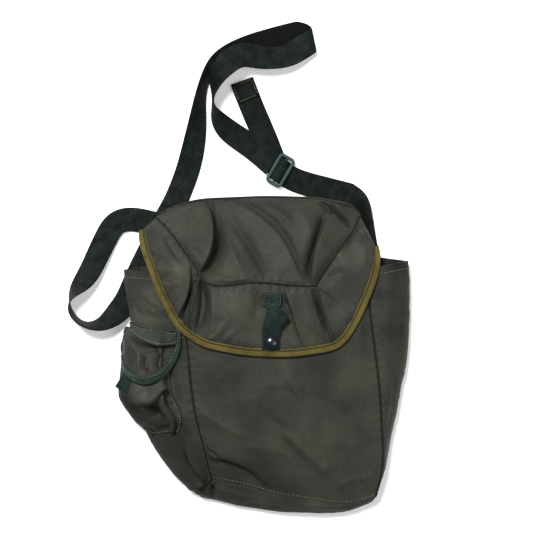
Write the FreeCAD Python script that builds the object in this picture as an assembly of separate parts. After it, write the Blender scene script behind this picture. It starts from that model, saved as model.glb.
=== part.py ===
import FreeCAD, Part
import math
import os

# Empty nylon shoulder haversack lying on its back. Millimetres, +Z up from the floor, +Y towards the
# mouth, +X to the right seen from above. The origin is on the back panel's resting face.

os.makedirs("parts", exist_ok=True)

CLOTH = 1.2             # coated nylon with its lining
WEB = 1.5               # strap webbing, thickness
WEB_WIDTH = 25.0
BINDING_WIDTH = 8.5
BINDING = 2.4           # binding folded over the cloth's edge, total thickness
HEM_WIDTH = 11.0
GAP = 0.15              # kept between pieces sewn face to face
CLEAR = 0.5             # kept between pieces that move apart
FOLD_Z = 10.0           # height of the gussets' outer folds
STRAP_Z = 1.05          # centre of webbing that lies on the floor
STATIONS = 9            # sections along the body
CAP_R = 7.4
CAP_H = 3.6
STUD_R = 2.6
SOCKET_R = 5.6
SOCKET_BORE_R = 3.4
STUD_BASE_R = 6.0
STUD_BASE_H = 0.8
SLIDER_LONG = 32.5
SLIDER_SHORT = 17.5
SLIDER_BAR = 2.6
SLIDER_THICK = 2.0
SLIDER_CORNER = 2.6
SLIDER_Z = 4.3          # underside of the slider frame
SLIDER_CENTRE = (14.5, 226.0)
SLIDER_TURN = -30.0     # degrees, the way the short strap runs

# Seams and folds of the body, from the mouth to the bottom
FRONT_LEFT_SEAM = [(-88, 118, 30), (-84, 71, 31), (-80, 33, 31), (-76, 0, 30), (-71, -32, 29),
                   (-63, -66, 25), (-56, -93, 20)]
FRONT_RIGHT_SEAM = [(102, 124, 29), (107, 73, 30), (112, 35, 30), (116, -1, 29), (119, -47, 27),
                    (119, -83, 23), (113, -111, 17)]
LEFT_FOLD = [(-148, 123, 10), (-146, 102, 10), (-141, 66, 10), (-140, 30, 10), (-136, -1, 10),
             (-127, -32, 10), (-113, -58, 9), (-94, -86, 8), (-67, -112, 7)]
RIGHT_FOLD = [(147, 132, 10), (148, 102, 10), (148, 71, 10), (145, 30, 10), (138, -9, 10), (131, -44, 9),
              (123, -81, 8), (112, -116, 7)]
BACK_LEFT_SEAM = [(-84, 134, 0), (-84, 60, 0), (-82, 0, 0), (-70, -58, 0)]
BACK_RIGHT_SEAM = [(84, 140, 0), (88, 60, 0), (92, 0, 0), (95, -68, 0)]
FRONT_BOTTOM_SEAM = [(-56, -93, 20), (-15, -101, 22), (9, -108, 22), (45, -114, 21), (86, -118, 19),
                     (113, -111, 17)]
MOUTH_FRONT = [(-88, 118, 30), (-40, 117, 31.2), (10, 118, 31.6), (60, 120, 31), (102, 124, 29)]
BOTTOM_BULGE = 14.0     # how far the bottom panel swells out between its corners
FRONT_CROWN = 2.0       # how far the front panel swells above its seams
RISER_TOP_Y = 193.0     # the back panel runs on up to here, where the flap folds
RISER_Z = 4.6           # the riser clears the strap's sewn ends

# Flap: edges and seams, outer face
FLAP_FOLD = [(-114, 177, 14), (-97, 187, 10), (-79, 193, 8), (-46, 196, 7), (-2, 198, 7), (35, 197, 7),
             (60, 195, 7.5), (81, 189, 8.5), (97, 179, 13)]
FLAP_LEFT_TOP = [(-114, 177, 14), (-123, 171, 13), (-130, 163, 13)]
FLAP_RIGHT_TOP = [(97, 179, 13), (104, 172, 15), (110, 160, 18), (114, 146, 23)]
BINDING_LEFT = [(-130, 163, 13), (-130, 147, 19), (-122, 128, 29), (-117, 111, 31), (-110, 94, 32.5),
                (-100, 76, 33.5), (-88, 58, 35), (-80, 53, 35.5)]
BINDING_FRONT = [(-80, 53, 35.5), (-68, 45, 36.5), (-53, 41, 37.5), (-32, 37, 39), (9, 34, 40), (35, 35, 40),
                 (55, 38, 38.5), (68, 40, 37.5)]
BINDING_RIGHT = [(68, 40, 37.5), (78, 45, 36.5), (86, 55, 36), (94, 68, 36), (101, 83, 35.5), (108, 99, 34.5),
                 (114, 116, 33), (117.5, 132, 28), (114, 146, 23)]
EAR_SEAM_LEFT = [(-114, 177, 14), (-99, 162, 21.5), (-89, 149, 27.5), (-79, 135, 33), (-69, 116, 39)]
EAR_SEAM_RIGHT = [(97, 179, 13), (89, 163, 21), (80, 151, 26.5), (69, 135, 33), (59, 120, 37),
                  (51, 106, 39.5)]
PLEAT_LEFT = [(-69, 116, 39), (-76, 95, 38.5), (-80, 53, 35.5)]
PLEAT_RIGHT = [(51, 106, 39.5), (58, 78, 40), (68, 40, 37.5)]
FLAP_SEAM = [(-69, 116, 39), (-52, 107, 40), (-12, 109, 40.5), (20, 107, 40.5), (51, 106, 39.5)]

# Patch pocket on the left gusset
POCKET_RIGHT_SEAM = [(-98, 43), (-98, 9), (-93, -11), (-86, -31), (-90, -44)]
POCKET_OUTER_EDGE = [(-149, 41), (-151, 11), (-151, -11), (-143, -24), (-135, -34), (-120, -47)]
POCKET_FLAP_RIM = [(-98.5, 54), (-98, 44), (-100, 33), (-105, 22), (-114, 11), (-125, 6), (-133, 10),
                   (-138, 20), (-141, 34), (-141, 48), (-139, 57)]
POCKET_HINGE = [(-98.5, 57), (-120, 59), (-139, 60)]
POCKET_PROFILE = [(0.0, 0.0), (0.2, 11.0), (0.45, 16.0), (0.7, 17.0), (0.9, 12.0), (1.0, 4.0), (0.97, -3.5)]
POCKET_FLAP_LIFT = 2.8  # the pocket flap lies this far over the pocket

# Webbing routes: x, y, height of the centre, roll about its own length in degrees
LEFT_END = [(-60, 161, 3.05, 0), (-84, 164, 3.05, 0), (-104, 168, 3.05, 0), (-123, 172, 2.9, 0)]
LEFT_LOOP_TOP = [(-124.5, 172.5, 2.8, 0), (-140, 175.5, 1.2, 0), (-155, 172, 2.1, 5), (-166, 157, 2.1, 5)]
LEFT_LOOP_SIDE = [(-167, 155, 2.2, 6), (-177, 135, 3.6, 12), (-189, 113, 7.2, 28), (-199, 101, 11.6, 58)]
LEFT_LOOP_END = [(-200.3, 98.5, 12.0, 62), (-204, 88, 13.2, 85), (-199, 74, 13.4, 95), (-187, 66, 13.2, 100)]
LEFT_LOOP_BACK = [(-185.5, 66, 13.2, 102), (-173, 66.5, 11.5, 122), (-160, 74, 7.0, 152),
                  (-149.5, 85, 1.05, 180)]
UNDER_BAG = [(-146, 91, 1.05, 0), (-136, 113, 1.05, 0), (-122, 142, 1.05, 0), (-107, 172, 1.05, 0),
             (-95.5, 193, 1.05, 0)]
RISE_LOWER = [(-94, 196.5, 1.05, 0), (-88, 210, 1.7, 4), (-81, 230, 3.0, 10), (-75, 255, 6.0, 25)]
RISE_UPPER = [(-75, 256, 6.2, 26), (-71, 280, 9.9, 48), (-68, 303, 11.8, 66), (-61, 324, 11.8, 66)]
TOP_BACK = [(-59, 326.5, 11.6, 62), (-47, 337, 7.9, 35), (-27, 347, 4.5, 17), (0, 355, 2.5, 7),
            (36, 364, 1.2, 1)]
TOP_FRONT = [(36, 355, 8.6, 0), (12, 345, 10, 0), (-8, 344.5, 13.5, 0), (-21.5, 345, 17.5, 0)]
TOP_TURN = [(-26, 344.2, 19.5, 0), (-39, 336.5, 23, 10), (-49, 324, 22, 35), (-54, 308, 15.5, 73)]
RETURN_UPPER = [(-54.3, 307, 14.8, 76), (-55.5, 294, 12.8, 84), (-51, 281, 10.8, 55), (-41, 269, 6.6, 25)]
RETURN_LOWER = [(-39, 267, 6.2, 23), (-26, 258, 4.4, 8), (-12, 248, 3.3, 0), (1, 235.5, 3.05, 0)]
TAIL = [(-25.5, 319, 1.05, 0), (-15.5, 293, 1.05, 0), (-4, 266, 1.05, 0), (4, 245, 1.05, 0)]
SHORT_UNDER_SLIDER = [(4.3, 244, 1.05, 0), (9.5, 231, 1.05, 0), (21, 220.5, 1.05, 0), (36, 214, 1.05, 0)]
SHORT_SIDE = [(39.5, 212.5, 1.05, 0), (60, 207, 1.05, 0), (80, 203, 1.05, 0)]
RIGHT_END = [(95, 190, 1.05, 0), (99, 172, 1.05, 0), (104, 150, 1.05, 0), (108, 128, 1.05, 0)]
STRAP_STEPS = 5         # sub-steps between two stations of a webbing route

# Closing tab and snap: limits in x and y of each stitched strip, then the snap's axis
TAB_ANCHOR_X, TAB_ANCHOR_Y = (-4, 15.5), (98, 92, 85.5)
TAB_END_X, TAB_END_Y = (-4.5, 13.5), (62, 54, 45)
TAB_WIDTH = 18.0
SNAP_X, SNAP_Y = 4.9, 48.9
STUD_RISE = 1.6         # the stud stands this far above its base
PATCH_LONG, PATCH_WIDE, PATCH_THICK = 30, 24, 1.0
POCKET_STRIP_X, POCKET_STRIP_Y = (-136, -124, -112, -101), (75, 68)
PULL_TAB_ROUTE, PULL_TAB_WIDTH = [(-139, 4.5, 38, 0), (-152, 0, 29, 0)], 15.0

# Turned-over webbing: the short strap over the slider's bar (x, z in the slider's own frame), the length
# and start of the long strap's sewn end, and the height of the strap's upper run at its top fold
SLIDER_TURN_PROFILE = [(-5.4, 0.4), (-4.2, 1.8), (-2.8, 3.0), (-1.2, 3.7), (1.2, 3.7), (2.8, 3.0), (4.2, 1.8),
                       (5.4, 0.4)]
TURN_THICK = 1.1
SEWN_END_LONG, SEWN_END_X, SEWN_END_Z = 13.2, -12.2, 2.3
TOP_RUN_Z = 8.6
FOLD_STEPS = 8


def vector(point):
    return FreeCAD.Vector(*point)


def curve(points, count):
    """A smooth curve through the points, as count points equally spaced along it."""
    spline = Part.BSplineCurve()
    spline.interpolate([vector(p) for p in points])
    return spline.discretize(Number=count)


def lerp(a, b, share):
    return a + (b - a) * share


def coons(top, bottom, left, right):
    """Rows of points that fill the space between four boundary curves sharing their corners."""
    rows = []
    last_row = len(left) - 1
    last_col = len(top) - 1
    for i in range(len(left)):
        t = i / last_row
        row = []
        for j in range(len(top)):
            s = j / last_col
            ruled = lerp(top[j], bottom[j], t) + lerp(left[i], right[i], s)
            corners = lerp(lerp(top[0], top[-1], s), lerp(bottom[0], bottom[-1], s), t)
            row.append(ruled - corners)
        rows.append(row)
    return rows


def key(point):
    return (round(point.x, 4), round(point.y, 4), round(point.z, 4))


def cells(grid):
    for i in range(len(grid) - 1):
        for j in range(len(grid[0]) - 1):
            yield grid[i][j], grid[i][j + 1], grid[i + 1][j + 1], grid[i + 1][j]


def shared_normals(grids):
    """Average outward direction at every point of panels sewn to each other along common points."""
    normals = {}
    for grid in grids:
        for a, b, c, d in cells(grid):
            normal = (c - a).cross(b - d)
            if normal.Length > 1e-9:
                normal = normal / normal.Length
            for corner in (a, b, c, d):
                normals[key(corner)] = normals.get(key(corner), FreeCAD.Vector()) + normal
    return {place: n / max(n.Length, 1e-9) for place, n in normals.items()}


def offset(grid, normals, distance):
    return [[p - normals[key(p)] * distance for p in row] for row in grid]


def split(a, b, c, d):
    """Two triangles for a four-sided cell, cut the same way from either side."""
    if min(key(a), key(c)) < min(key(b), key(d)):
        return [(a, b, c), (a, c, d)]
    return [(a, b, d), (b, c, d)]


def border(grid):
    top = [(0, j) for j in range(len(grid[0]))]
    right = [(i, len(grid[0]) - 1) for i in range(1, len(grid))]
    bottom = [(len(grid) - 1, j) for j in reversed(range(len(grid[0]) - 1))]
    left = [(i, 0) for i in reversed(range(1, len(grid) - 1))]
    return top + right + bottom + left


def solid_between(outer, inner):
    """Closed solid between two grids of the same size."""
    triangles = []
    for a, b, c, d in cells(outer):
        triangles += split(a, b, c, d)
    for a, b, c, d in cells(inner):
        triangles += [(r, q, p) for p, q, r in split(a, b, c, d)]
    ring = border(outer)
    for (i, j), (m, n) in zip(ring, ring[1:] + ring[:1]):
        triangles += split(outer[m][n], outer[i][j], inner[i][j], inner[m][n])
    faces = []
    for p, q, r in triangles:
        if (q - p).cross(r - p).Length > 1e-6:
            faces.append(Part.Face(Part.makePolygon([p, q, r, p])))
    solid = Part.Solid(Part.makeShell(faces))
    if solid.Volume < 0:
        solid.reverse()
    return solid


def cloth(grid, thickness=CLOTH, lift=0.0):
    """One piece of cloth whose outer face is the grid, raised by lift."""
    normals = shared_normals([grid])
    return solid_between(offset(grid, normals, -lift), offset(grid, normals, thickness - lift))


def save(name, shape):
    shape.exportStep("parts/" + name + ".step")


def height_on(grid, x, y):
    """Height of the highest point of the grid above x, y."""
    best = None
    for cell in cells(grid):
        for p, q, r in split(*cell):
            area = (q.x - p.x) * (r.y - p.y) - (q.y - p.y) * (r.x - p.x)
            if abs(area) < 1e-9:
                continue
            u = ((x - p.x) * (r.y - p.y) - (y - p.y) * (r.x - p.x)) / area
            v = ((q.x - p.x) * (y - p.y) - (q.y - p.y) * (x - p.x)) / area
            if u < -1e-6 or v < -1e-6 or u + v > 1 + 1e-6:
                continue
            z = p.z + u * (q.z - p.z) + v * (r.z - p.z)
            best = z if best is None else max(best, z)
    return best


# ---- body ----

def gusset_section(seam, fold, back):
    """From the front seam over the outer fold and back under to the back seam."""
    upper = [seam]
    for s in (0.25, 0.5, 0.75):
        point = lerp(seam, fold, s)
        upper.append(FreeCAD.Vector(point.x, point.y, fold.z + (seam.z - fold.z) * (1 - s * s) ** 0.6))
    lower = [fold]
    for s, z in ((0.05, 0.55 * fold.z), (0.25, 2.9), (0.86, 2.3)):
        point = lerp(fold, back, s)
        lower.append(FreeCAD.Vector(point.x, point.y, z))
    return upper + lower + [back]


def gusset(seam, fold, back):
    stations = zip(curve(seam, STATIONS), curve(fold, STATIONS), curve(back, STATIONS))
    return [gusset_section(*station) for station in stations]


def front_grid():
    left = curve(FRONT_LEFT_SEAM, STATIONS)
    right = curve(FRONT_RIGHT_SEAM, STATIONS)
    top = curve(MOUTH_FRONT, STATIONS)
    bottom = curve(FRONT_BOTTOM_SEAM, STATIONS)
    grid = coons(top, bottom, left, right)
    last = STATIONS - 1
    for i in range(1, last):
        for j in range(1, last):
            grid[i][j].z += FRONT_CROWN * math.sin(math.pi * i / last) * math.sin(math.pi * j / last)
    return grid


def back_grid(left, right):
    grid = []
    for a, b in zip(left, right):
        grid.append([lerp(a, b, j / (STATIONS - 1)) for j in range(STATIONS)])
    return grid


def bottom_grid(front, back, left, right):
    grid = coons(front[-1], back[-1], left[-1], right[-1])
    last = STATIONS - 1
    for i in range(1, last):
        for j in range(1, last):
            swell = math.sin(math.pi * i / last) * math.sin(math.pi * j / last)
            grid[i][j].y -= BOTTOM_BULGE * swell
            grid[i][j].z = max(grid[i][j].z, 0.0)
    return grid


def riser_rows(first_row):
    """The back panel's run from the mouth up to the flap's fold, raised over the strap's sewn ends."""
    rows = []
    for share, z in ((1.0, RISER_Z), (0.6, RISER_Z), (0.18, RISER_Z), (0.09, 0.6 * RISER_Z)):
        row = []
        for point in first_row:
            row.append(FreeCAD.Vector(point.x, point.y + (RISER_TOP_Y - point.y) * share, z))
        rows.append(row)
    return rows


def make_body():
    left = gusset(FRONT_LEFT_SEAM, LEFT_FOLD, BACK_LEFT_SEAM)
    right = gusset(FRONT_RIGHT_SEAM, RIGHT_FOLD, BACK_RIGHT_SEAM)
    front = front_grid()
    back = back_grid([row[-1] for row in left], [row[-1] for row in right])
    bottom = bottom_grid(front, back, left, right)
    riser = riser_rows(back[0])
    faces = {
        "front_panel": front,
        "left_gusset": [list(reversed(row)) for row in left],
        "right_gusset": right,
        "bottom_panel": bottom,
        "back_panel": [list(reversed(row)) for row in riser + back],
    }
    normals = shared_normals(faces.values())
    for name, grid in faces.items():
        save(name, solid_between(grid, offset(grid, normals, CLOTH)))
    make_hems(faces, normals)
    return front, left


def make_hems(faces, normals):
    """The mouth's edge turned in and stitched: a strip inside each of the three free edges."""
    for name, panel in (("mouth_hem_front", "front_panel"), ("mouth_hem_left", "left_gusset"),
                        ("mouth_hem_right", "right_gusset")):
        grid = offset(faces[panel], normals, CLOTH + GAP)
        inside = offset(faces[panel], normals, 2 * CLOTH + GAP)
        rows = [strip_row(grid, share) for share in (0.02, 0.5, 1.0)]
        inner_rows = [strip_row(inside, share) for share in (0.02, 0.5, 1.0)]
        save(name, solid_between(rows, inner_rows))


def strip_row(grid, share):
    """A row of points HEM_WIDTH * share below the mouth, kept off the panel's corners."""
    row = []
    last = len(grid[0]) - 1
    for j in range(1, last):
        down = grid[1][j] - grid[0][j]
        row.append(grid[0][j] + down * (share * HEM_WIDTH / down.Length))
    return row


# ---- flap ----

def flap_grids():
    rows, cols, ear = 9, 11, 6
    fold = curve(FLAP_FOLD, cols)
    seam = curve(FLAP_SEAM, cols)
    front_edge = inset(BINDING_FRONT, cols)
    left_edge = inset(BINDING_LEFT, 2 * rows - 1)
    right_edge = inset(BINDING_RIGHT, 2 * rows - 1)
    left_seam = curve(EAR_SEAM_LEFT, rows)
    right_seam = curve(EAR_SEAM_RIGHT, rows)
    left_pleat = pinned(curve(PLEAT_LEFT, rows), front_edge[0])
    right_pleat = pinned(curve(PLEAT_RIGHT, rows), front_edge[-1])
    left_edge[-1] = front_edge[0]
    right_edge[0] = front_edge[-1]
    left_top = ending(curve(FLAP_LEFT_TOP, ear), left_edge[0])
    right_top = ending(curve(FLAP_RIGHT_TOP, ear), right_edge[-1])
    top = coons(fold, seam, left_seam, right_seam)
    front = coons(seam, front_edge, left_pleat, right_pleat)
    inner_left = left_seam + left_pleat[1:]
    inner_right = right_seam + right_pleat[1:]
    shares = [j / (ear - 1) for j in range(ear)]
    left_ear = [[lerp(a, b, s) for s in reversed(shares)] for a, b in zip(inner_left, left_edge)]
    right_ear = [[lerp(a, b, s) for s in shares] for a, b in zip(inner_right, reversed(right_edge))]
    for j in range(ear):
        left_ear[0][ear - 1 - j] = left_top[j]
        right_ear[0][j] = right_top[j]
    return {"flap_top_panel": top, "flap_front_panel": front, "flap_left_ear": left_ear,
            "flap_right_ear": right_ear}


def inset(points, count, distance=BINDING_WIDTH + 4 * GAP):
    """The curve moved towards the inside of the flap, in plan."""
    outer = curve(points, count)
    moved = []
    for i, point in enumerate(outer):
        along = outer[min(i + 1, count - 1)] - outer[max(i - 1, 0)]
        side = FreeCAD.Vector(-along.y, along.x, 0)
        side = side / side.Length
        moved.append(point + side * distance)
    return moved


def pinned(points, end):
    """The curve bent so that it ends at another point."""
    shift = end - points[-1]
    last = len(points) - 1
    return [p + shift * (i / last) for i, p in enumerate(points)]


def ending(points, end):
    return points[:-1] + [end]


def make_binding(name, points, count):
    """Binding folded over the flap's edge: a doubled strip just outside the cloth."""
    outer = curve(points, count)
    inner = inset(points, count, BINDING_WIDTH)
    outer = [lerp(outer[0], outer[1], 0.2)] + outer[1:-1] + [lerp(outer[-2], outer[-1], 0.8)]
    inner = [lerp(inner[0], inner[1], 0.2)] + inner[1:-1] + [lerp(inner[-2], inner[-1], 0.8)]
    save(name, cloth([inner, outer], BINDING, (BINDING - CLOTH) / 2))


def make_flap():
    grids = flap_grids()
    normals = shared_normals(grids.values())
    for name, grid in grids.items():
        save(name, solid_between(grid, offset(grid, normals, CLOTH)))
    make_binding("flap_binding_left", BINDING_LEFT, 11)
    make_binding("flap_binding_front", BINDING_FRONT, 11)
    make_binding("flap_binding_right", BINDING_RIGHT, 11)
    return grids["flap_front_panel"]


def strip_on(surface, across, along, lift, thickness, name):
    """A flat strip lying on a surface: across and along are its limits in x and y."""
    grid = []
    for y in along:
        level = max(height_on(surface, x, y) for x in across)
        grid.append([FreeCAD.Vector(x, y, level + lift + thickness) for x in across])
    save(name, cloth(grid, thickness))
    return grid


def make_tab(flap_front):
    anchor = strip_on(flap_front, TAB_ANCHOR_X, TAB_ANCHOR_Y, GAP, WEB, "flap_tab_anchor")
    low = strip_on(flap_front, TAB_END_X, TAB_END_Y, GAP, WEB, "flap_tab_end")
    start = anchor[-1][0].z + WEB
    slack = [(5.5, 88, start, 0), (8, 79, start + 5.4, 25), (7, 70, start + 4.9, -15),
             (4.5, 60, low[0][0].z + WEB, 0)]
    save("flap_tab", ribbon(slack, TAB_WIDTH))
    return low[1][0].z


def levels_near_snap(surface, reach):
    steps = (-reach, 0, reach)
    return [height_on(surface, SNAP_X + dx, SNAP_Y + dy) for dx in steps for dy in steps]


def on_snap_axis(radius, low, high):
    """A cylinder round the snap's axis between two heights."""
    return Part.makeCylinder(radius, high - low, FreeCAD.Vector(SNAP_X, SNAP_Y, low))


def make_snap(front, flap_front, tab_top):
    """Cap on the tab, socket under the flap, stud and its base on the front panel."""
    cap_z = max(tab_top, height_on(flap_front, SNAP_X, SNAP_Y + STUD_BASE_R) + WEB) + CLEAR
    dome_r = (CAP_R ** 2 + CAP_H ** 2) / (2 * CAP_H)
    dome = Part.makeSphere(dome_r, FreeCAD.Vector(SNAP_X, SNAP_Y, cap_z + CAP_H - dome_r))
    save("snap_cap", dome.common(on_snap_axis(2 * CAP_R, cap_z, cap_z + CAP_H)))
    base_z = max(levels_near_snap(front, STUD_BASE_R)) + GAP
    base_top = base_z + STUD_BASE_H
    stud_top = base_top + STUD_RISE
    base = on_snap_axis(STUD_BASE_R, base_z, base_top)
    save("snap_stud", base.fuse(on_snap_axis(STUD_R, base_z, stud_top)).removeSplitter())
    socket_z = base_top + CLEAR
    socket_top = min(levels_near_snap(flap_front, SOCKET_R - CLEAR)) - CLOTH - GAP
    bore = on_snap_axis(SOCKET_BORE_R, socket_z - GAP, stud_top + CLEAR)
    save("snap_socket", on_snap_axis(SOCKET_R, socket_z, socket_top).cut(bore))
    patch_z = height_on(front, SNAP_X, SNAP_Y) - 2 * CLOTH - PATCH_THICK / 2
    corner = FreeCAD.Vector(SNAP_X - PATCH_LONG / 2, SNAP_Y - PATCH_WIDE / 2, patch_z)
    save("stud_patch", Part.makeBox(PATCH_LONG, PATCH_WIDE, PATCH_THICK, corner))


# ---- pocket ----

def pocket_grid(gusset_grid):
    """Pouch sewn on the gusset, swollen between its seam and its outer edge, open at the top."""
    rows = 8
    seam = curve([(x, y, 0) for x, y in POCKET_RIGHT_SEAM], rows)
    edge = curve([(x, y, 0) for x, y in POCKET_OUTER_EDGE], rows)
    grid = []
    for i, (a, b) in enumerate(zip(seam, edge)):
        down = i / (rows - 1)
        fullness = min(1.0, 0.12 + 1.3 * math.cos(math.pi * down / 2)) * (0.55 + 0.45 * min(1.0, 4 * down))
        base = height_on(gusset_grid, a.x, a.y) + CLOTH + GAP
        low = FOLD_Z + CLOTH
        row = []
        for share, lift in POCKET_PROFILE:
            point = lerp(a, b, share)
            slope = base + (low - base) * share ** 1.6
            under = height_on(gusset_grid, point.x, point.y)
            z = slope + lift * fullness
            if under is not None and share < 0.9:
                z = max(z, under + CLOTH + GAP)
            row.append(FreeCAD.Vector(point.x, point.y, z))
        row.reverse()
        grid.append(row)
    return grid


def make_pocket(gusset_grid):
    grid = pocket_grid(gusset_grid)
    save("pocket_front", cloth(grid))
    normals = shared_normals([grid])
    hem = [strip_row(offset(grid, normals, CLOTH + GAP), share) for share in (0.05, 1.0)]
    hem_inside = [strip_row(offset(grid, normals, 2 * CLOTH + GAP), share) for share in (0.05, 1.0)]
    save("pocket_mouth_hem", solid_between(hem, hem_inside))
    strip = [[gusset_point(gusset_grid, x, y, 2.5 * CLOTH) for x in POCKET_STRIP_X] for y in POCKET_STRIP_Y]
    save("pocket_flap_seam", cloth(strip))
    return grid


def gusset_point(surface, x, y, lift):
    return FreeCAD.Vector(x, y, height_on(surface, x, y) + lift)


def pocket_flap_grid(gusset_grid, pocket):
    hinge = curve([(x, y, 0) for x, y in POCKET_HINGE], 9)
    rim = curve([(x, y, 0) for x, y in POCKET_FLAP_RIM], 9)
    grid = []
    for share in (0.0, 0.3, 0.55, 0.8, 1.0):
        row = []
        for a, b in zip(hinge, rim):
            point = lerp(a, b, share)
            row.append(FreeCAD.Vector(point.x, point.y, pocket_flap_height(gusset_grid, pocket, point)))
        grid.append(row)
    return grid


def pocket_flap_height(gusset_grid, pocket, point):
    """High enough to lie over the pocket's open mouth and over the gusset above it."""
    over_pocket = height_on(pocket, point.x, min(point.y, 40.5))
    over_gusset = height_on(gusset_grid, max(point.x, -136), point.y) + 2 * CLOTH + GAP
    if over_pocket is None:
        over_pocket = over_gusset
    blend = max(0.0, min(1.0, (60 - point.y) / 9))
    return max(over_gusset, lerp(over_gusset, over_pocket + CLOTH + POCKET_FLAP_LIFT, blend))


def make_pocket_flap(gusset_grid, pocket):
    grid = pocket_flap_grid(gusset_grid, pocket)
    body = grid[:-1] + [[lerp(a, b, 0.35) for a, b in zip(grid[-2], grid[-1])]]
    rim = [[lerp(a, b, 0.40) for a, b in zip(grid[-2], grid[-1])], grid[-1]]
    save("pocket_flap", cloth([list(reversed(row)) for row in body]))
    save("pocket_flap_binding", cloth([list(reversed(row)) for row in rim], BINDING, 0.5))
    save("pocket_pull_tab", ribbon(PULL_TAB_ROUTE, PULL_TAB_WIDTH))


# ---- webbing ----

def catmull(points, steps):
    """A smooth list of stations through the given ones, steps to each span."""
    path = []
    for i in range(len(points) - 1):
        before = points[max(i - 1, 0)]
        a, b = points[i], points[i + 1]
        after = points[min(i + 2, len(points) - 1)]
        for k in range(steps):
            t = k / steps
            path.append(tuple(hermite(p, q, r, s, t) for p, q, r, s in zip(before, a, b, after)))
    path.append(tuple(float(value) for value in points[-1]))
    return path


def hermite(p, q, r, s, t):
    m0 = (r - p) / 2
    m1 = (s - q) / 2
    return ((2 * t ** 3 - 3 * t ** 2 + 1) * q + (t ** 3 - 2 * t ** 2 + t) * m0
            + (-2 * t ** 3 + 3 * t ** 2) * r + (t ** 3 - t ** 2) * m1)


def ribbon(route, width=WEB_WIDTH, thickness=WEB):
    """Webbing along a route, rolled about its own length by each station's angle."""
    path = catmull(route, STRAP_STEPS)
    centres = [FreeCAD.Vector(x, y, z) for x, y, z, roll in path]
    upper, lower = [], []
    for i, (x, y, z, roll) in enumerate(path):
        along = centres[min(i + 1, len(path) - 1)] - centres[max(i - 1, 0)]
        flat = FreeCAD.Vector(-along.y, along.x, 0)
        flat = flat / flat.Length
        angle = math.radians(roll)
        across = flat * math.cos(angle) + FreeCAD.Vector(0, 0, math.sin(angle))
        normal = along.cross(across)
        normal = normal / normal.Length
        edge_a = centres[i] + across * (width / 2)
        edge_b = centres[i] - across * (width / 2)
        upper.append([edge_a + normal * (thickness / 2), edge_b + normal * (thickness / 2)])
        lower.append([edge_a - normal * (thickness / 2), edge_b - normal * (thickness / 2)])
    return solid_between(upper, lower)


def make_strap():
    routes = {
        "strap_left_end": LEFT_END,
        "strap_left_loop_top": LEFT_LOOP_TOP,
        "strap_left_loop_side": LEFT_LOOP_SIDE,
        "strap_left_loop_end": LEFT_LOOP_END,
        "strap_left_loop_back": LEFT_LOOP_BACK,
        "strap_under_bag": UNDER_BAG,
        "strap_rise_lower": RISE_LOWER,
        "strap_rise_upper": RISE_UPPER,
        "strap_top_back": TOP_BACK,
        "strap_top_front": TOP_FRONT,
        "strap_top_turn": TOP_TURN,
        "strap_return_upper": RETURN_UPPER,
        "strap_return_lower": RETURN_LOWER,
        "short_strap_tail": TAIL,
        "short_strap_under_slider": SHORT_UNDER_SLIDER,
        "short_strap_side": SHORT_SIDE,
        "short_strap_end": RIGHT_END,
    }
    for name, route in routes.items():
        save(name, ribbon(route))


def make_top_fold():
    """Where the strap turns back over itself: half a tube between the two runs of the top loop."""
    low = STRAP_Z + GAP
    rows_out, rows_in = [], []
    for k in range(FOLD_STEPS + 1):
        share = k / FOLD_STEPS
        angle = math.pi * (share - 0.5)
        z = lerp(low, TOP_RUN_Z, (1 + math.sin(angle)) / 2)
        a = FreeCAD.Vector(lerp(34.6, 33.0, share) + 13 * math.cos(angle), lerp(376, 366.5, share), z)
        b = FreeCAD.Vector(lerp(41.0, 42.5, share) + 10 * math.cos(angle), lerp(351.5, 343, share), z)
        out = FreeCAD.Vector(math.cos(angle), 0, math.sin(angle)) * (WEB / 2)
        rows_out.append([a + out, b + out])
        rows_in.append([a - out, b - out])
    save("strap_top_fold", solid_between(rows_out, rows_in))


def make_tail_tip():
    """The tail's end turned over and stitched down."""
    save("short_strap_tip", ribbon([(-25.5, 319, 2.8, 0), (-18, 300, 2.8, 0)]))


def make_anchors():
    """Box-stitched squares of doubled webbing at the strap's two sewn ends."""
    save("strap_anchor_left", ribbon([(-60, 161, 1.5, 0), (-82, 163.8, 1.5, 0)], WEB_WIDTH - 2, 1.2))
    save("strap_anchor_right", ribbon([(108, 128, 2.1, 0), (104.5, 148, 2.1, 0)], WEB_WIDTH - 2, 0.3))


def in_slider(shape):
    """From the slider's own frame (x along the strap, z from its underside) to its place."""
    shape.rotate(FreeCAD.Vector(), FreeCAD.Vector(0, 0, 1), SLIDER_TURN)
    shape.translate(FreeCAD.Vector(SLIDER_CENTRE[0], SLIDER_CENTRE[1], SLIDER_Z))
    return shape


def bar(x, width, length, inset_z=0.0):
    height = SLIDER_THICK - 2 * inset_z
    return Part.makeBox(width, length, height, FreeCAD.Vector(x - width / 2, -length / 2, inset_z))


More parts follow.
